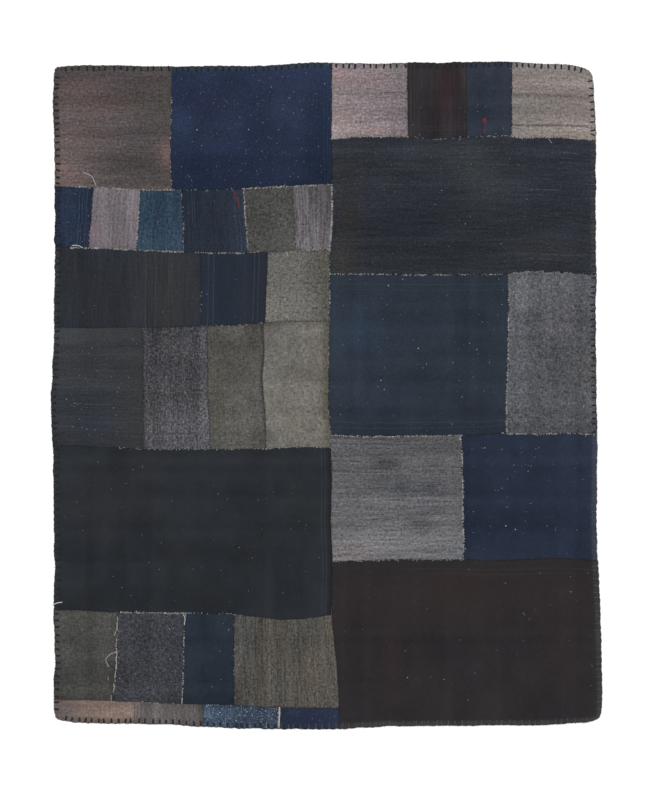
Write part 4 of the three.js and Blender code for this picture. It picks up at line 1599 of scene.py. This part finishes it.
class EdgeYarn:
    """The thick overcast yarn that goes round the rug's hem."""

    PITCH, JITTER, SLANT = 24.6 * MM, 0.16, 2.4 * MM
    SIDES = 8
    RADIUS = 3.0 * MM
    SIDE_WIDTHS = {LEFT: 1.3, HEAD: 1.15, RIGHT: 1.0, FOOT: 1.15}
    WIDTHS, END_WIDTH = (0.85, 1.0), 0.6
    DARK_CLOTH = 58.0
    WORN_SIDES = (RIGHT, FOOT)
    OFF_CORNER = 19 * MM
    DEPTH, DEPTHS = 19.5 * MM, (0.86, 1.08)
    RIM = 1.5 * MM
    DEPTHS_MM = (19.0, 17.5, 14.5, 10.5, 6.6, 4.0, 2.4, 1.4, 1.3, 2.4)
    LIFTS_MM = (-2.8, -0.6, 0.1, 0.1, 0.0, -0.1, -0.4, -1.5, -2.4, -3.0)

    def __init__(self, seed: int) -> None:
        """Start the yarn's own draw of uneven stitches."""
        self.draw = np.random.default_rng(seed)

    def plan(self, length: float) -> HemStitches:
        """Choose where the stitches go along a hem side.

        Args:
            length: the side's length.

        Returns:
            The stitches' shares of the length, and how far each one leans.
        """
        count = max(1, int(round(length / self.PITCH)))
        shares = np.arange(count) + 0.5 + self.draw.uniform(-self.JITTER, self.JITTER, count)
        return HemStitches(shares / count, self.draw.normal(0.0, self.SLANT, count))

    def sew(self, cloths: Iterable[Cloth], surface: "RugFace") -> tuple[Piece, Piece]:
        """Sew every hem side, with yarn that is worn greyer along the dark cloths.

        Args:
            cloths: all of the rug's cloths.
            surface: the rug's face, which the yarn lies on.

        Returns:
            The dark yarn and the worn yarn, one piece each.
        """
        dark, worn = YarnWork("edge_yarn", self.SIDES), YarnWork("edge_yarn_worn", self.SIDES)
        for cloth in cloths:
            dark_cloth = max(cloth.look.colour[:2]) < self.DARK_CLOTH
            for side, stitches in cloth.hems.items():
                work = worn if dark_cloth and side in self.WORN_SIDES else dark
                path = cloth.outline.sides[side]
                turn = -1.0 if side in (HEAD, LEFT) else 1.0
                others = [cloth.outline.sides[other].line for other in cloth.hems if other is not side]
                for share, slant in zip(stitches.shares, stitches.slants):
                    place = path.at(share)
                    if any(np.linalg.norm(o - place, axis=1).min() < self.OFF_CORNER for o in others):
                        continue
                    width, lean = self.RADIUS * self.SIDE_WIDTHS[side], path.direction(share) * slant
                    self._stitch(work, place, path.over(share) * turn, lean, width, surface)
        return dark.build(), worn.build()

    def _stitch(
        self, work: YarnWork, edge: Array, inward: Array, lean: Array, width: float, surface: "RugFace"
    ) -> None:
        """Lay one stitch from inside the hem, over the edge and under it.

        Args:
            work: the piece that it belongs to.
            edge: where it goes over the rug's edge.
            inward: the way into the rug, as a unit vector.
            lean: how far its inner end leans along the edge.
            width: its radius.
            surface: the rug's face.
        """
        scale = self.draw.uniform(*self.DEPTHS)
        points = []
        for depth_mm, lift_mm in zip(self.DEPTHS_MM, self.LIFTS_MM):
            depth = depth_mm * MM * scale
            place = edge + inward * depth + lean * depth / self.DEPTH
            height = surface.height(*(place + inward * self.RIM)) + lift_mm * MM
            points.append((*place, max(height, width)))
        radii = np.full(len(points), width * self.draw.uniform(*self.WIDTHS))
        radii[[0, -1]] *= self.END_WIDTH
        work.lay(np.array(points), radii)


class RugFace:
    """The whole rug's face, asked for its height."""

    ABOVE, OUTSIDE = 0.2, 2.0 * MM

    def __init__(self, pieces: Sequence[Piece]) -> None:
        """Gather the pieces into one searchable surface.

        Args:
            pieces: the cloths' objects.
        """
        vertices: list[Point] = []
        polygons: list[tuple[int, ...]] = []
        for piece in pieces:
            offset = len(vertices)
            vertices.extend(tuple(vert.co) for vert in piece.data.vertices)
            polygons.extend(tuple(offset + i for i in face.vertices) for face in piece.data.polygons)
        self.tree = BVHTree.FromPolygons(vertices, polygons)

    def height(self, x: float, y: float) -> float:
        """Height of the rug's face above the floor, or a low edge outside it."""
        place, _, _, _ = self.tree.ray_cast(Vector((x, y, self.ABOVE)), Vector((0, 0, -1)))
        return place.z if place else self.OUTSIDE


class SeamYarn:
    """The fine dark yarn that whips each cloth to its neighbours."""

    PITCH, JITTER = 12.5 * MM, 0.25
    SIDES = 4
    RADIUS = 0.65 * MM
    REACH, REACHES = 3.4 * MM, (0.75, 1.2)
    LEAN, LEANS = 2.6 * MM, (0.4, 1.6)
    LIFTS_MM = ((-1.0, -0.9), (-0.5, 0.25), (0.0, 0.55), (0.5, 0.25), (1.0, -0.9))

    def __init__(self, seed: int) -> None:
        """Start the yarn's own draw of uneven stitches."""
        self.draw = np.random.default_rng(seed)

    def sew(self, cloths: Iterable[Cloth], surface: RugFace) -> Piece:
        """Whip every seam once, from the cloth above it or to its left.

        Args:
            cloths: all of the rug's cloths.
            surface: the rug's face.

        Returns:
            The yarn as one piece.
        """
        work = YarnWork("seam_yarn", self.SIDES)
        for cloth in cloths:
            for side in (FOOT, RIGHT):
                if side not in cloth.hems:
                    self._whip(work, cloth.outline.sides[side], surface)
        return work.build()

    def _whip(self, work: YarnWork, path: SidePath, surface: RugFace) -> None:
        """Lay the stitches of one seam.

        Args:
            work: the piece that they belong to.
            path: the seam.
            surface: the rug's face.
        """
        count = int(path.length / self.PITCH)
        shares = np.arange(count) + 0.5 + self.draw.uniform(-self.JITTER, self.JITTER, count)
        for share in shares / count:
            over, run, middle = path.over(share), path.direction(share), path.at(share)
            reach = self.REACH * self.draw.uniform(*self.REACHES)
            lean = self.LEAN * self.draw.uniform(*self.LEANS)
            points = []
            for step, lift in self.LIFTS_MM:
                place = middle + over * reach * step + run * lean * step
                points.append((*place, max(surface.height(*place) + lift * MM, self.RADIUS)))
            work.lay(np.array(points), self.RADIUS)


@dataclass(frozen=True)
class Fray:
    """A stretch of a seam where worn yarn ends show pale, by shares of the side's length."""

    cloth: str
    side: Side
    per_metre: float
    reach_mm: float = 1.5
    start: float = 0.0
    end: float = 1.0


FRAYS = (
    Fray("rose_brown", RIGHT, 170, 0.6, end=0.75), Fray("striped_mauve", LEFT, 60, 0.8),
    Fray("charcoal", FOOT, 120, start=0.7), Fray("moss_brown", FOOT, 130, 0.8),
    Fray("pale_stone", FOOT, 130, 0.8), Fray("rose_brown", FOOT, 650, start=0.16),
    Fray("linty_navy", FOOT, 600, end=0.12), Fray("linty_navy", FOOT, 170, start=0.12, end=0.42),
    Fray("linty_navy", FOOT, 620, start=0.42), Fray("midnight_blue", RIGHT, 120),
    Fray("midnight_blue", FOOT, 520, start=0.4), Fray("lavender_grey", FOOT, 600),
    Fray("teal_denim", FOOT, 600), Fray("slate_navy", FOOT, 420, start=0.15),
    Fray("olive_grey", FOOT, 200, end=0.35), Fray("striped_mauve", FOOT, 380),
    Fray("lavender_grey", RIGHT, 620), Fray("teal_denim", RIGHT, 260), Fray("slate_navy", RIGHT, 560),
    Fray("striped_mauve", RIGHT, 850), Fray("blue_black", RIGHT, 90, end=0.5),
    Fray("lined_navy", FOOT, 120), Fray("warm_grey", RIGHT, 230), Fray("flecked_mauve", FOOT, 120),
    Fray("pale_stone", RIGHT, 160), Fray("heather_grey", RIGHT, 420, 0.8),
    Fray("dark_olive", RIGHT, 300, 0.8, start=0.1, end=0.95), Fray("plain_navy", RIGHT, 60),
    Fray("long_ink_black", FOOT, 420, start=0.22, end=0.48),
    Fray("long_ink_black", FOOT, 160, start=0.48, end=0.68), Fray("heather_grey", FOOT, 90),
    Fray("flecked_denim", RIGHT, 1500, 1.2), Fray("pink_grey", FOOT, 480),
    Fray("oxblood_brown", FOOT, 110), Fray("knotted_navy", FOOT, 160), Fray("pink_beige", FOOT, 420, 2.0),
    Fray("knotted_navy", RIGHT, 120), Fray("worn_charcoal", FOOT, 290, 1.1, end=0.68),
    Fray("worn_charcoal", FOOT, 260, start=0.68), Fray("large_teal_navy", RIGHT, 420),
    Fray("large_teal_navy", FOOT, 330, end=0.75), Fray("ash_grey", FOOT, 430),
    Fray("streaked_grey", RIGHT, 520), Fray("streaked_grey", FOOT, 160),
)

BROWN_FRAYS = (
    Fray("large_black_brown", HEAD, 480, 1.7),
    Fray("oxblood_brown", LEFT, 160, 1.0),
)

HEAVY_LINT_MM = (
    (-477, 976, 6), (-286, 977, 5), (-234, 1003, 4), (-91, 1050, 4), (-105, 804, 4), (-459, 918, 4),
    (-534, 1163, 2), (-502, 1022, 3), (-319, 1023, 3), (-255, 1015, 2), (-122, 1039, 3), (-136, 1093, 3),
    (-41, 1110, 3), (-77, 1186, 3), (-8, 1146, 3), (7, 1018, 3), (-91, 907, 3), (-74, 900, 3),
    (-30, 916, 3), (-215, 950, 3), (-239, 897, 2), (-296, 900, 2), (-495, 932, 3), (-534, 841, 3),
    (-506, 805, 3), (-357, 826, 2), (-317, 827, 2), (-257, 825, 2), (-243, 782, 3), (-134, 805, 3),
    (-176, 977, 3), (-247, 1159, 3), (-207, 1167, 3), (-203, 1134, 3), (-367, 1077, 3), (-410, 1090, 2),
    (-256, 1072, 2), (-876, 660, 4), (-926, 741, 3), (-938, 541, 4), (-689, 675, 5), (-792, 67, 3),
    (-770, 12, 3), (-957, -14, 3), (-775, -73, 3), (-909, -87, 3), (-882, -124, 3), (-573, 226, 3),
    (-656, 187, 3), (-519, 156, 3), (-668, 134, 3), (-554, 137, 3), (-492, 137, 3), (-518, 8, 4),
    (-299, -21, 4), (5, 288, 4), (9, 152, 3), (-678, -264, 4), (-713, -273, 3), (-841, -245, 3),
    (-578, -860, 4), (-564, -858, 3), (-683, -882, 3), (-753, -1053, 3), (-575, -970, 3),
    (-637, -1099, 3), (-360, -863, 4), (-422, -1072, 3), (-389, -1046, 3), (-203, -1188, 5),
    (-139, -1211, 4), (261, 1043, 4), (261, 1013, 4), (38, 1094, 3), (45, 995, 3), (82, 969, 3),
    (115, 1017, 3), (250, 1168, 3), (555, 1044, 3), (623, 962, 3), (423, 754, 4), (509, 630, 4),
    (642, 557, 3), (353, 947, 4), (340, 958, 3), (489, 939, 4), (227, 404, 6), (280, 427, 4),
    (86, 427, 3), (222, 334, 3), (207, 280, 3), (59, 185, 3), (337, 173, 5), (525, 191, 4), (553, 168, 4),
    (368, 115, 4), (464, 120, 3), (200, 55, 5), (189, 31, 4), (212, 21, 4), (498, -6, 4), (598, 120, 3),
    (630, 295, 3), (649, 388, 3), (634, 427, 3), (645, 334, 3), (573, 270, 3), (645, -138, 4),
    (462, -106, 3), (52, -69, 3), (945, -42, 5), (987, -61, 5), (659, -480, 6), (694, -493, 5),
    (583, -194, 4), (781, -194, 3), (723, -801, 3), (962, -654, 3), (520, -1121, 3), (572, -194, 3),
    (770, -197, 3), (645, -199, 2), (766, -227, 3), (689, -257, 3), (701, -257, 2), (741, -257, 3),
    (752, -260, 2), (741, -279, 4), (835, -255, 2), (664, -308, 3), (645, -341, 4), (620, -349, 2),
    (631, -349, 2), (664, -374, 2), (664, -411, 3), (732, -463, 2), (810, -480, 3), (842, -496, 2),
    (539, -428, 3), (579, -566, 2), (921, -496, 3), (715, -194, 2), (818, -312, 2), (-569, -388, 2),
    (-400, -362, 2), (-252, -384, 2), (-608, -543, 2), (-654, -616, 2), (-389, -645, 2), (-785, -667, 2),
    (-754, -707, 2), (-288, -719, 2), (-75, -478, 2), (-28, -597, 2), (-76, -648, 2), (-680, -513, 2),
    (-896, -497, 2), (-719, -736, 2), (-160, -728, 2), (-237, -493, 2), (728, -806, 3), (746, -823, 3),
    (657, -690, 3), (784, -653, 3), (898, -723, 3), (324, -760, 2), (370, -786, 2), (490, -900, 2),
    (723, -902, 2), (545, -1022, 3), (298, -1038, 3), (384, -1037, 2), (432, -1045, 3), (523, -641, 3),
    (973, -1068, 2), (976, -995, 2), (996, -227, 3), (1000, -184, 3), (993, -806, 2), (1003, -776, 3),
    (511, -565, 4), (502, -212, 3), (953, -149, 4), (649, -139, 5),
)

FINE_LINT = {
    "linty_navy": 50, "midnight_blue": 5, "teal_denim": 6, "slate_navy": 3, "blue_black": 6,
    "lined_navy": 3, "charcoal": 30, "flecked_mauve": 30, "long_ink_black": 14, "heather_grey": 26,
    "dark_olive": 10, "plain_navy": 3, "violet_navy": 3, "flecked_denim": 24, "worn_charcoal": 22,
    "large_teal_navy": 34, "ash_grey": 22, "streaked_grey": 18, "deep_navy": 16, "large_black_brown": 5,
    "oxblood_brown": 3, "knotted_navy": 4,
}

LOOSE_THREADS_MM = (
    (1.0, ((-895, 821), (-879, 813), (-863, 804), (-855, 788), (-848, 771))),
    (1.5, ((-936, 551), (-916, 551), (-897, 543))),
    (1.9, ((-1007, -772), (-992, -764), (-972, -761))),
    (0.9, ((-148, 527), (-144, 520), (-142, 511))),
    (0.7, ((818, 943), (824, 932), (829, 928))),
    (0.9, ((-774, -944), (-786, -948), (-799, -955), (-810, -968), (-811, -979), (-801, -998))),
    (0.7, ((-803, -1036), (-804, -1048))),
    (1.1, ((-771, -834), (-771, -866))),
    (1.0, ((-776, -868), (-780, -884))),
    (0.9, ((-773, -937), (-771, -952), (-775, -970), (-772, -988), (-775, -1004))),
    (1.0, ((-777, -1020), (-780, -1040))),
    (0.9, ((-783, -1059), (-781, -1075), (-785, -1092))),
    (0.8, ((-790, -1103), (-793, -1113), (-792, -1125))),
    (1.3, ((-527, -806), (-521, -820), (-524, -846))),
    (1.2, ((-172, -1150), (-173, -1180), (-174, -1216))),
)

RED_THREADS_MM = (
    (0.8, ((581, 1010), (584, 992), (582, 978), (583, 962))),
    (0.8, ((-340, 751), (-337, 741), (-333, 729), (-331, 722))),
    (0.9, ((-331, 727), (-327, 716), (-324, 703), (-322, 692))),
)
RED_KNOT_MM = ((578, 1012), (583, 1015), (585, 1009), (580, 1006))


class LooseWool:
    """Wool that stands loose on the rug: frayed ends, lint, fallen threads and a mending knot."""

    SIDES, THREAD_SIDES = 4, 6
    FIBRE_STEPS = (-0.5, -0.17, 0.17, 0.5)
    FIBRE_BEND, FIBRE_ARCH, ARCH_GAIN = 0.9, 0.25, 2
    FIBRE_SUNK, THREAD_SUNK = 0.7, 0.8

    CLUMP, CLUMP_SHIFT, CLUMP_LIMITS = 28 * MM, 9, (-0.75, 0.75)
    ENDS_BEFORE_CLUMPING, END_TURN = 1.25, 0.9
    END_LENGTHS_MM, END_RADII_MM = (3.0, 8.0), (0.36, 0.74)

    WHIPPED = 300.0
    WHIP_PITCH, WHIP_JITTER = 9.5 * MM, 0.2
    WHIPS_WORN_OFF, WHIP_TURN = 0.25, (1.0, 0.35)
    WHIP_LENGTHS_MM, WHIP_RADII_MM = (3.5, 5.5), (0.6, 1.0)

    HEAVY_SIZE, FINE_SIZES = 0.8, (1.0, 2.1)
    OFF_SEAM = (0.06, 0.94)
    SPECK_FIBRES, SPECK_SPREAD, SPECK_GROWTH = 1.3, 0.22, 0.55
    SPECK_LENGTHS_MM, SPECK_RADII_MM = (0.6, 1.1), (0.4, 0.62)
    KNOT_FIBRES, KNOT_LENGTH, KNOT_RADIUS = 3, 7 * MM, 1.2 * MM

    def __init__(self, surface: RugFace, cloths: dict[str, Cloth], seed: int) -> None:
        """Keep what the wool lies on.

        Args:
            surface: the rug's face.
            cloths: all of the rug's cloths by name.
            seed: where its own draw starts.
        """
        self.surface, self.cloths = surface, cloths
        self.draw = np.random.default_rng(seed)
        self.clumps = SoftNoise(seed + 1)

    def _fibre(self, work: YarnWork, place: Array, heading: float, length: float, radius: float) -> None:
        """Lay one short bent fibre on the face.

        Args:
            work: the piece that it belongs to.
            place: its middle.
            heading: which way it lies, in radians.
            length: how long it is.
            radius: its radius.
        """
        bend = self.draw.normal(0.0, self.FIBRE_BEND)
        arch = self.draw.uniform(0.0, self.FIBRE_ARCH) * length
        points = []
        for step in self.FIBRE_STEPS:
            angle = heading + bend * step
            x = place[0] + length * step * math.cos(angle)
            y = place[1] + length * step * math.sin(angle)
            lift = radius * self.FIBRE_SUNK
            lift += arch * (self.FIBRE_STEPS[-1] ** 2 - step * step) * self.ARCH_GAIN
            points.append((x, y, max(self.surface.height(x, y) + lift, radius)))
        work.lay(np.array(points), radius)

    def fray(self, name: str, frays: Sequence[Fray]) -> Piece:
        """Lay the worn yarn ends that show along the seams.

        Args:
            name: the piece's name.
            frays: the stretches that are worn.

        Returns:
            The yarn ends as one piece.
        """
        work = YarnWork(name, self.SIDES)
        for fray in frays:
            path = self.cloths[fray.cloth].outline.sides[fray.side]
            count = self.ENDS_BEFORE_CLUMPING * fray.per_metre * path.length * (fray.end - fray.start)
            for share in self.draw.uniform(fray.start, fray.end, int(count)):
                middle = path.at(share)
                thick = self.clumps.at(middle[0] + self.CLUMP_SHIFT, middle[1], self.CLUMP, self.CLUMP)
                if self.draw.uniform(*self.CLUMP_LIMITS) > thick:
                    continue
                place = middle + path.over(share) * self.draw.normal(0.0, fray.reach_mm * MM)
                heading = path.heading(share) + self.draw.normal(0.0, self.END_TURN)
                length = self.draw.uniform(*self.END_LENGTHS_MM) * MM
                self._fibre(work, place, heading, length, self.draw.uniform(*self.END_RADII_MM) * MM)
        return work.build()

    def whips(self) -> Piece:
        """Lay the small pale stitches that dot the seams with the most fray.

        Returns:
            The stitches as one piece.
        """
        work = YarnWork("pale_whips", self.SIDES)
        for fray in FRAYS:
            if fray.per_metre < self.WHIPPED:
                continue
            path = self.cloths[fray.cloth].outline.sides[fray.side]
            count = int(path.length * (fray.end - fray.start) / self.WHIP_PITCH)
            for share in np.linspace(fray.start, fray.end, max(count, 2)):
                share += self.draw.normal(0.0, self.WHIP_JITTER) * self.WHIP_PITCH / path.length
                if self.draw.uniform() < self.WHIPS_WORN_OFF:
                    continue
                heading = path.heading(np.clip(share, 0.0, 1.0)) + self.draw.normal(*self.WHIP_TURN)
                length = self.draw.uniform(*self.WHIP_LENGTHS_MM) * MM
                radius = self.draw.uniform(*self.WHIP_RADII_MM) * MM
                self._fibre(work, path.at(share), heading, length, radius)
        return work.build()

    def lint(self) -> Piece:
        """Lay the specks of pale lint and slubs.

        Returns:
            The lint as one piece.
        """
        work = YarnWork("lint", self.SIDES)
        for x, y, size in HEAVY_LINT_MM:
            self._speck(work, np.array([x, y]) * MM, size * self.HEAVY_SIZE)
        for name, count in FINE_LINT.items():
            sides = self.cloths[name].outline.sides
            for _ in range(count):
                across, up = self.draw.uniform(*self.OFF_SEAM, 2)
                place = sides[FOOT].at(across) * (1 - up) + sides[HEAD].at(across) * up
                self._speck(work, place, self.draw.uniform(*self.FINE_SIZES))
        return work.build()

    def _speck(self, work: YarnWork, place: Array, size: float) -> None:
        """Lay one curl of lint, with more fibres in it the larger it is.

        Args:
            work: the piece that it belongs to.
            place: its middle.
            size: about how many millimetres it is wide.
        """
        for _ in range(1 + int(size * self.SPECK_FIBRES)):
            middle = place + self.draw.normal(0.0, size * self.SPECK_SPREAD * MM, 2)
            length = self.draw.uniform(*self.SPECK_LENGTHS_MM) * (1.0 + size * self.SPECK_GROWTH) * MM
            heading = self.draw.uniform(0.0, math.tau)
            self._fibre(work, middle, heading, length, self.draw.uniform(*self.SPECK_RADII_MM) * MM)

    def threads(self, name: str, threads: Sequence) -> YarnWork:
        """Lay whole threads that came loose.

        Args:
            name: the piece's name.
            threads: each thread's radius and the places that it passes, in millimetres.

        Returns:
            The work, ready to be built or added to.
        """
        work = YarnWork(name, self.THREAD_SIDES)
        for radius_mm, places in threads:
            line = smooth_line(np.array(places, float) * MM)
            radius = radius_mm * MM
            heights = [self.surface.height(*place) + radius * self.THREAD_SUNK for place in line]
            work.lay(np.column_stack([line, heights]), radius)
        return work

    def knot(self) -> Piece:
        """Tie the mending knot, with its tail, and lay the other red thread.

        Returns:
            The red threads as one piece.
        """
        work = self.threads("red_mending", RED_THREADS_MM)
        for x, y in RED_KNOT_MM:
            for _ in range(self.KNOT_FIBRES):
                heading = self.draw.uniform(0.0, math.tau)
                self._fibre(work, np.array([x, y]) * MM, heading, self.KNOT_LENGTH, self.KNOT_RADIUS)
        return work.build()


@dataclass
class Studio:
    """A pale floor, soft light and a camera straight above."""

    lens: float = 85.0
    clip_end: float = 100.0
    floor_size: float = 14.0
    floor_level: float = -0.2 * MM
    light_breadth: float = 32.0
    world_light: float = 0.55

    LIGHTS = (("key", (-2.6, 3.0, 4.0), 2.3), ("fill", (3.0, -1.6, 4.0), 0.6))
    WHITE, PALE = (1.0, 1.0, 1.0, 1.0), (0.94, 0.94, 0.94, 1.0)
    FLOOR_ROUGHNESS, FLOOR_SPECULAR = 0.9, 0.1

    def build(self) -> None:
        """Set up the floor, the light and the camera."""
        self._floor()
        for name, place, power in self.LIGHTS:
            self._light(name, place, power)
        world = bpy.data.worlds.new("studio")
        world.use_nodes = True
        background = world.node_tree.nodes["Background"].inputs
        background["Color"].default_value = self.WHITE
        background["Strength"].default_value = self.world_light
        bpy.context.scene.world = world
        bpy.context.scene.view_settings.view_transform = "Standard"
        self._camera()

    def _floor(self) -> None:
        """Lay the floor under the rug."""
        floor = bmesh.new()
        bmesh.ops.create_grid(floor, x_segments=2, y_segments=2, size=self.floor_size / 2)
        mesh = bpy.data.meshes.new("floor")
        floor.to_mesh(mesh)
        floor.free()
        mesh.materials.append(Bench("pale_floor").dress({
            "Base Color": self.PALE,
            "Roughness": self.FLOOR_ROUGHNESS,
            "Specular IOR Level": self.FLOOR_SPECULAR,
        }))
        piece = placed("floor", mesh)
        piece.location.z = self.floor_level
        piece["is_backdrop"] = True

    def _light(self, name: str, place: Point, power: float) -> None:
        """Add one far, broad light that faces the rug's middle and falls evenly over it.

        Args:
            name: its name.
            place: where it stands.
            power: how strong it is.
        """
        light = bpy.data.lights.new(name, "SUN")
        light.angle = math.radians(self.light_breadth)
        light.energy = power
        holder = placed(name, light)
        holder.location = place
        holder.rotation_euler = (-Vector(place)).to_track_quat("-Z", "Y").to_euler()

    def _camera(self) -> None:
        """Put the camera over the point that the photo's frame is centred on."""
        camera = bpy.data.cameras.new("above")
        camera.lens = self.lens
        camera.clip_end = self.clip_end
        width, height = FRAME_PIXELS
        distance = height * METRES_PER_PIXEL * self.lens / camera.sensor_width
        holder = placed("above", camera)
        holder.location = (*from_pixel(width / 2, height / 2), distance)
        bpy.context.scene.camera = holder


class Rug:
    """The whole rug: its cloths and what is sewn to them."""

    EDGE_SEARCH = 50 * MM
    RELIEF_SEED, WANDER_SEED = 11, 5
    EDGE_SEED, SEAM_SEED, WOOL_SEED = 23, 31, 47
    FINISH_SEED, FINISH_STEP = 1.3, 2.9

    def __init__(self, nodes: dict[str, Piece]) -> None:
        """Read every cloth's outline and plan its hems.

        Args:
            nodes: the frame's solids by name.
        """
        self.low, self.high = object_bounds()
        relief, wander = SoftNoise(self.RELIEF_SEED), SoftNoise(self.WANDER_SEED)
        self.edge_yarn = EdgeYarn(self.EDGE_SEED)
        self.cloths: dict[str, Cloth] = {}
        for look in LOOKS:
            outline = ClothOutline.of_node(nodes[look.name], wander)
            hems = {
                side: self.edge_yarn.plan(path.length)
                for side, path in outline.sides.items()
                if self._on_edge(side, path)
            }
            self.cloths[look.name] = Cloth(look, outline, hems, relief)

    def _on_edge(self, side: Side, path: SidePath) -> bool:
        """Tell whether a cloth's side is part of the rug's own edge.

        Args:
            side: which side of its cloth it is.
            path: the side.

        Returns:
            True if a hem goes there.
        """
        x, y = path.at(0.5)
        away = {LEFT: x - self.low.x, RIGHT: self.high.x - x, FOOT: y - self.low.y, HEAD: self.high.y - y}
        return away[side] < self.EDGE_SEARCH

    def build_cloths(self) -> None:
        """Make every cloth, dress it and let it stand for its solid."""
        for number, (name, cloth) in enumerate(self.cloths.items()):
            piece = cloth.build()
            seed = self.FINISH_SEED + number * self.FINISH_STEP
            finish = ClothFinish(cloth.look, cloth.width(), cloth.length(), seed)
            piece.data.materials.append(finish.make())
            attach(piece, BODY)
            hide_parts(name)
            cloth.cut_size()
            LOG.info("%s: %d faces", piece.name, len(piece.data.polygons))

    def sew(self) -> None:
        """Add the sewing and everything that is caught in the cloth."""
        surface = RugFace([cloth.piece for cloth in self.cloths.values()])
        edge, worn_edge = self.edge_yarn.sew(self.cloths.values(), surface)
        seams = SeamYarn(self.SEAM_SEED).sew(self.cloths.values(), surface)
        wool = LooseWool(surface, self.cloths, self.WOOL_SEED)
        pale = wool.threads("loose_threads", LOOSE_THREADS_MM).build()
        self._dress(edge, CHARCOAL_YARN)
        self._dress(worn_edge, GREYED_YARN)
        self._dress(seams, CHARCOAL_YARN)
        self._dress(wool.fray("frayed_ends", FRAYS), WORN_WOOL)
        self._dress(wool.lint(), LINT_WOOL)
        self._dress(pale, PALE_WOOL)
        self._dress(wool.knot(), RED_WOOL)
        self._dress(wool.whips(), WORN_WOOL)
        self._dress(wool.fray("brown_fray", BROWN_FRAYS), BROWN_WOOL)

    def _dress(self, piece: Piece, finish: YarnFinish) -> None:
        """Give a sewn piece its yarn and let it ride on the rug.

        Args:
            piece: the sewn piece.
            finish: its yarn.
        """
        piece.data.materials.clear()
        piece.data.materials.append(finish.make())
        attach(piece, BODY)
        LOG.info("%s: %d faces", piece.name, len(piece.data.polygons))


def main() -> None:
    """Build the rug and its studio around the frame."""
    logging.basicConfig(level=logging.INFO, format="%(message)s")
    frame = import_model()
    Studio().build()
    rug = Rug(frame["nodes"])
    rug.build_cloths()
    rug.sew()


if __name__ == "__main__":
    main()
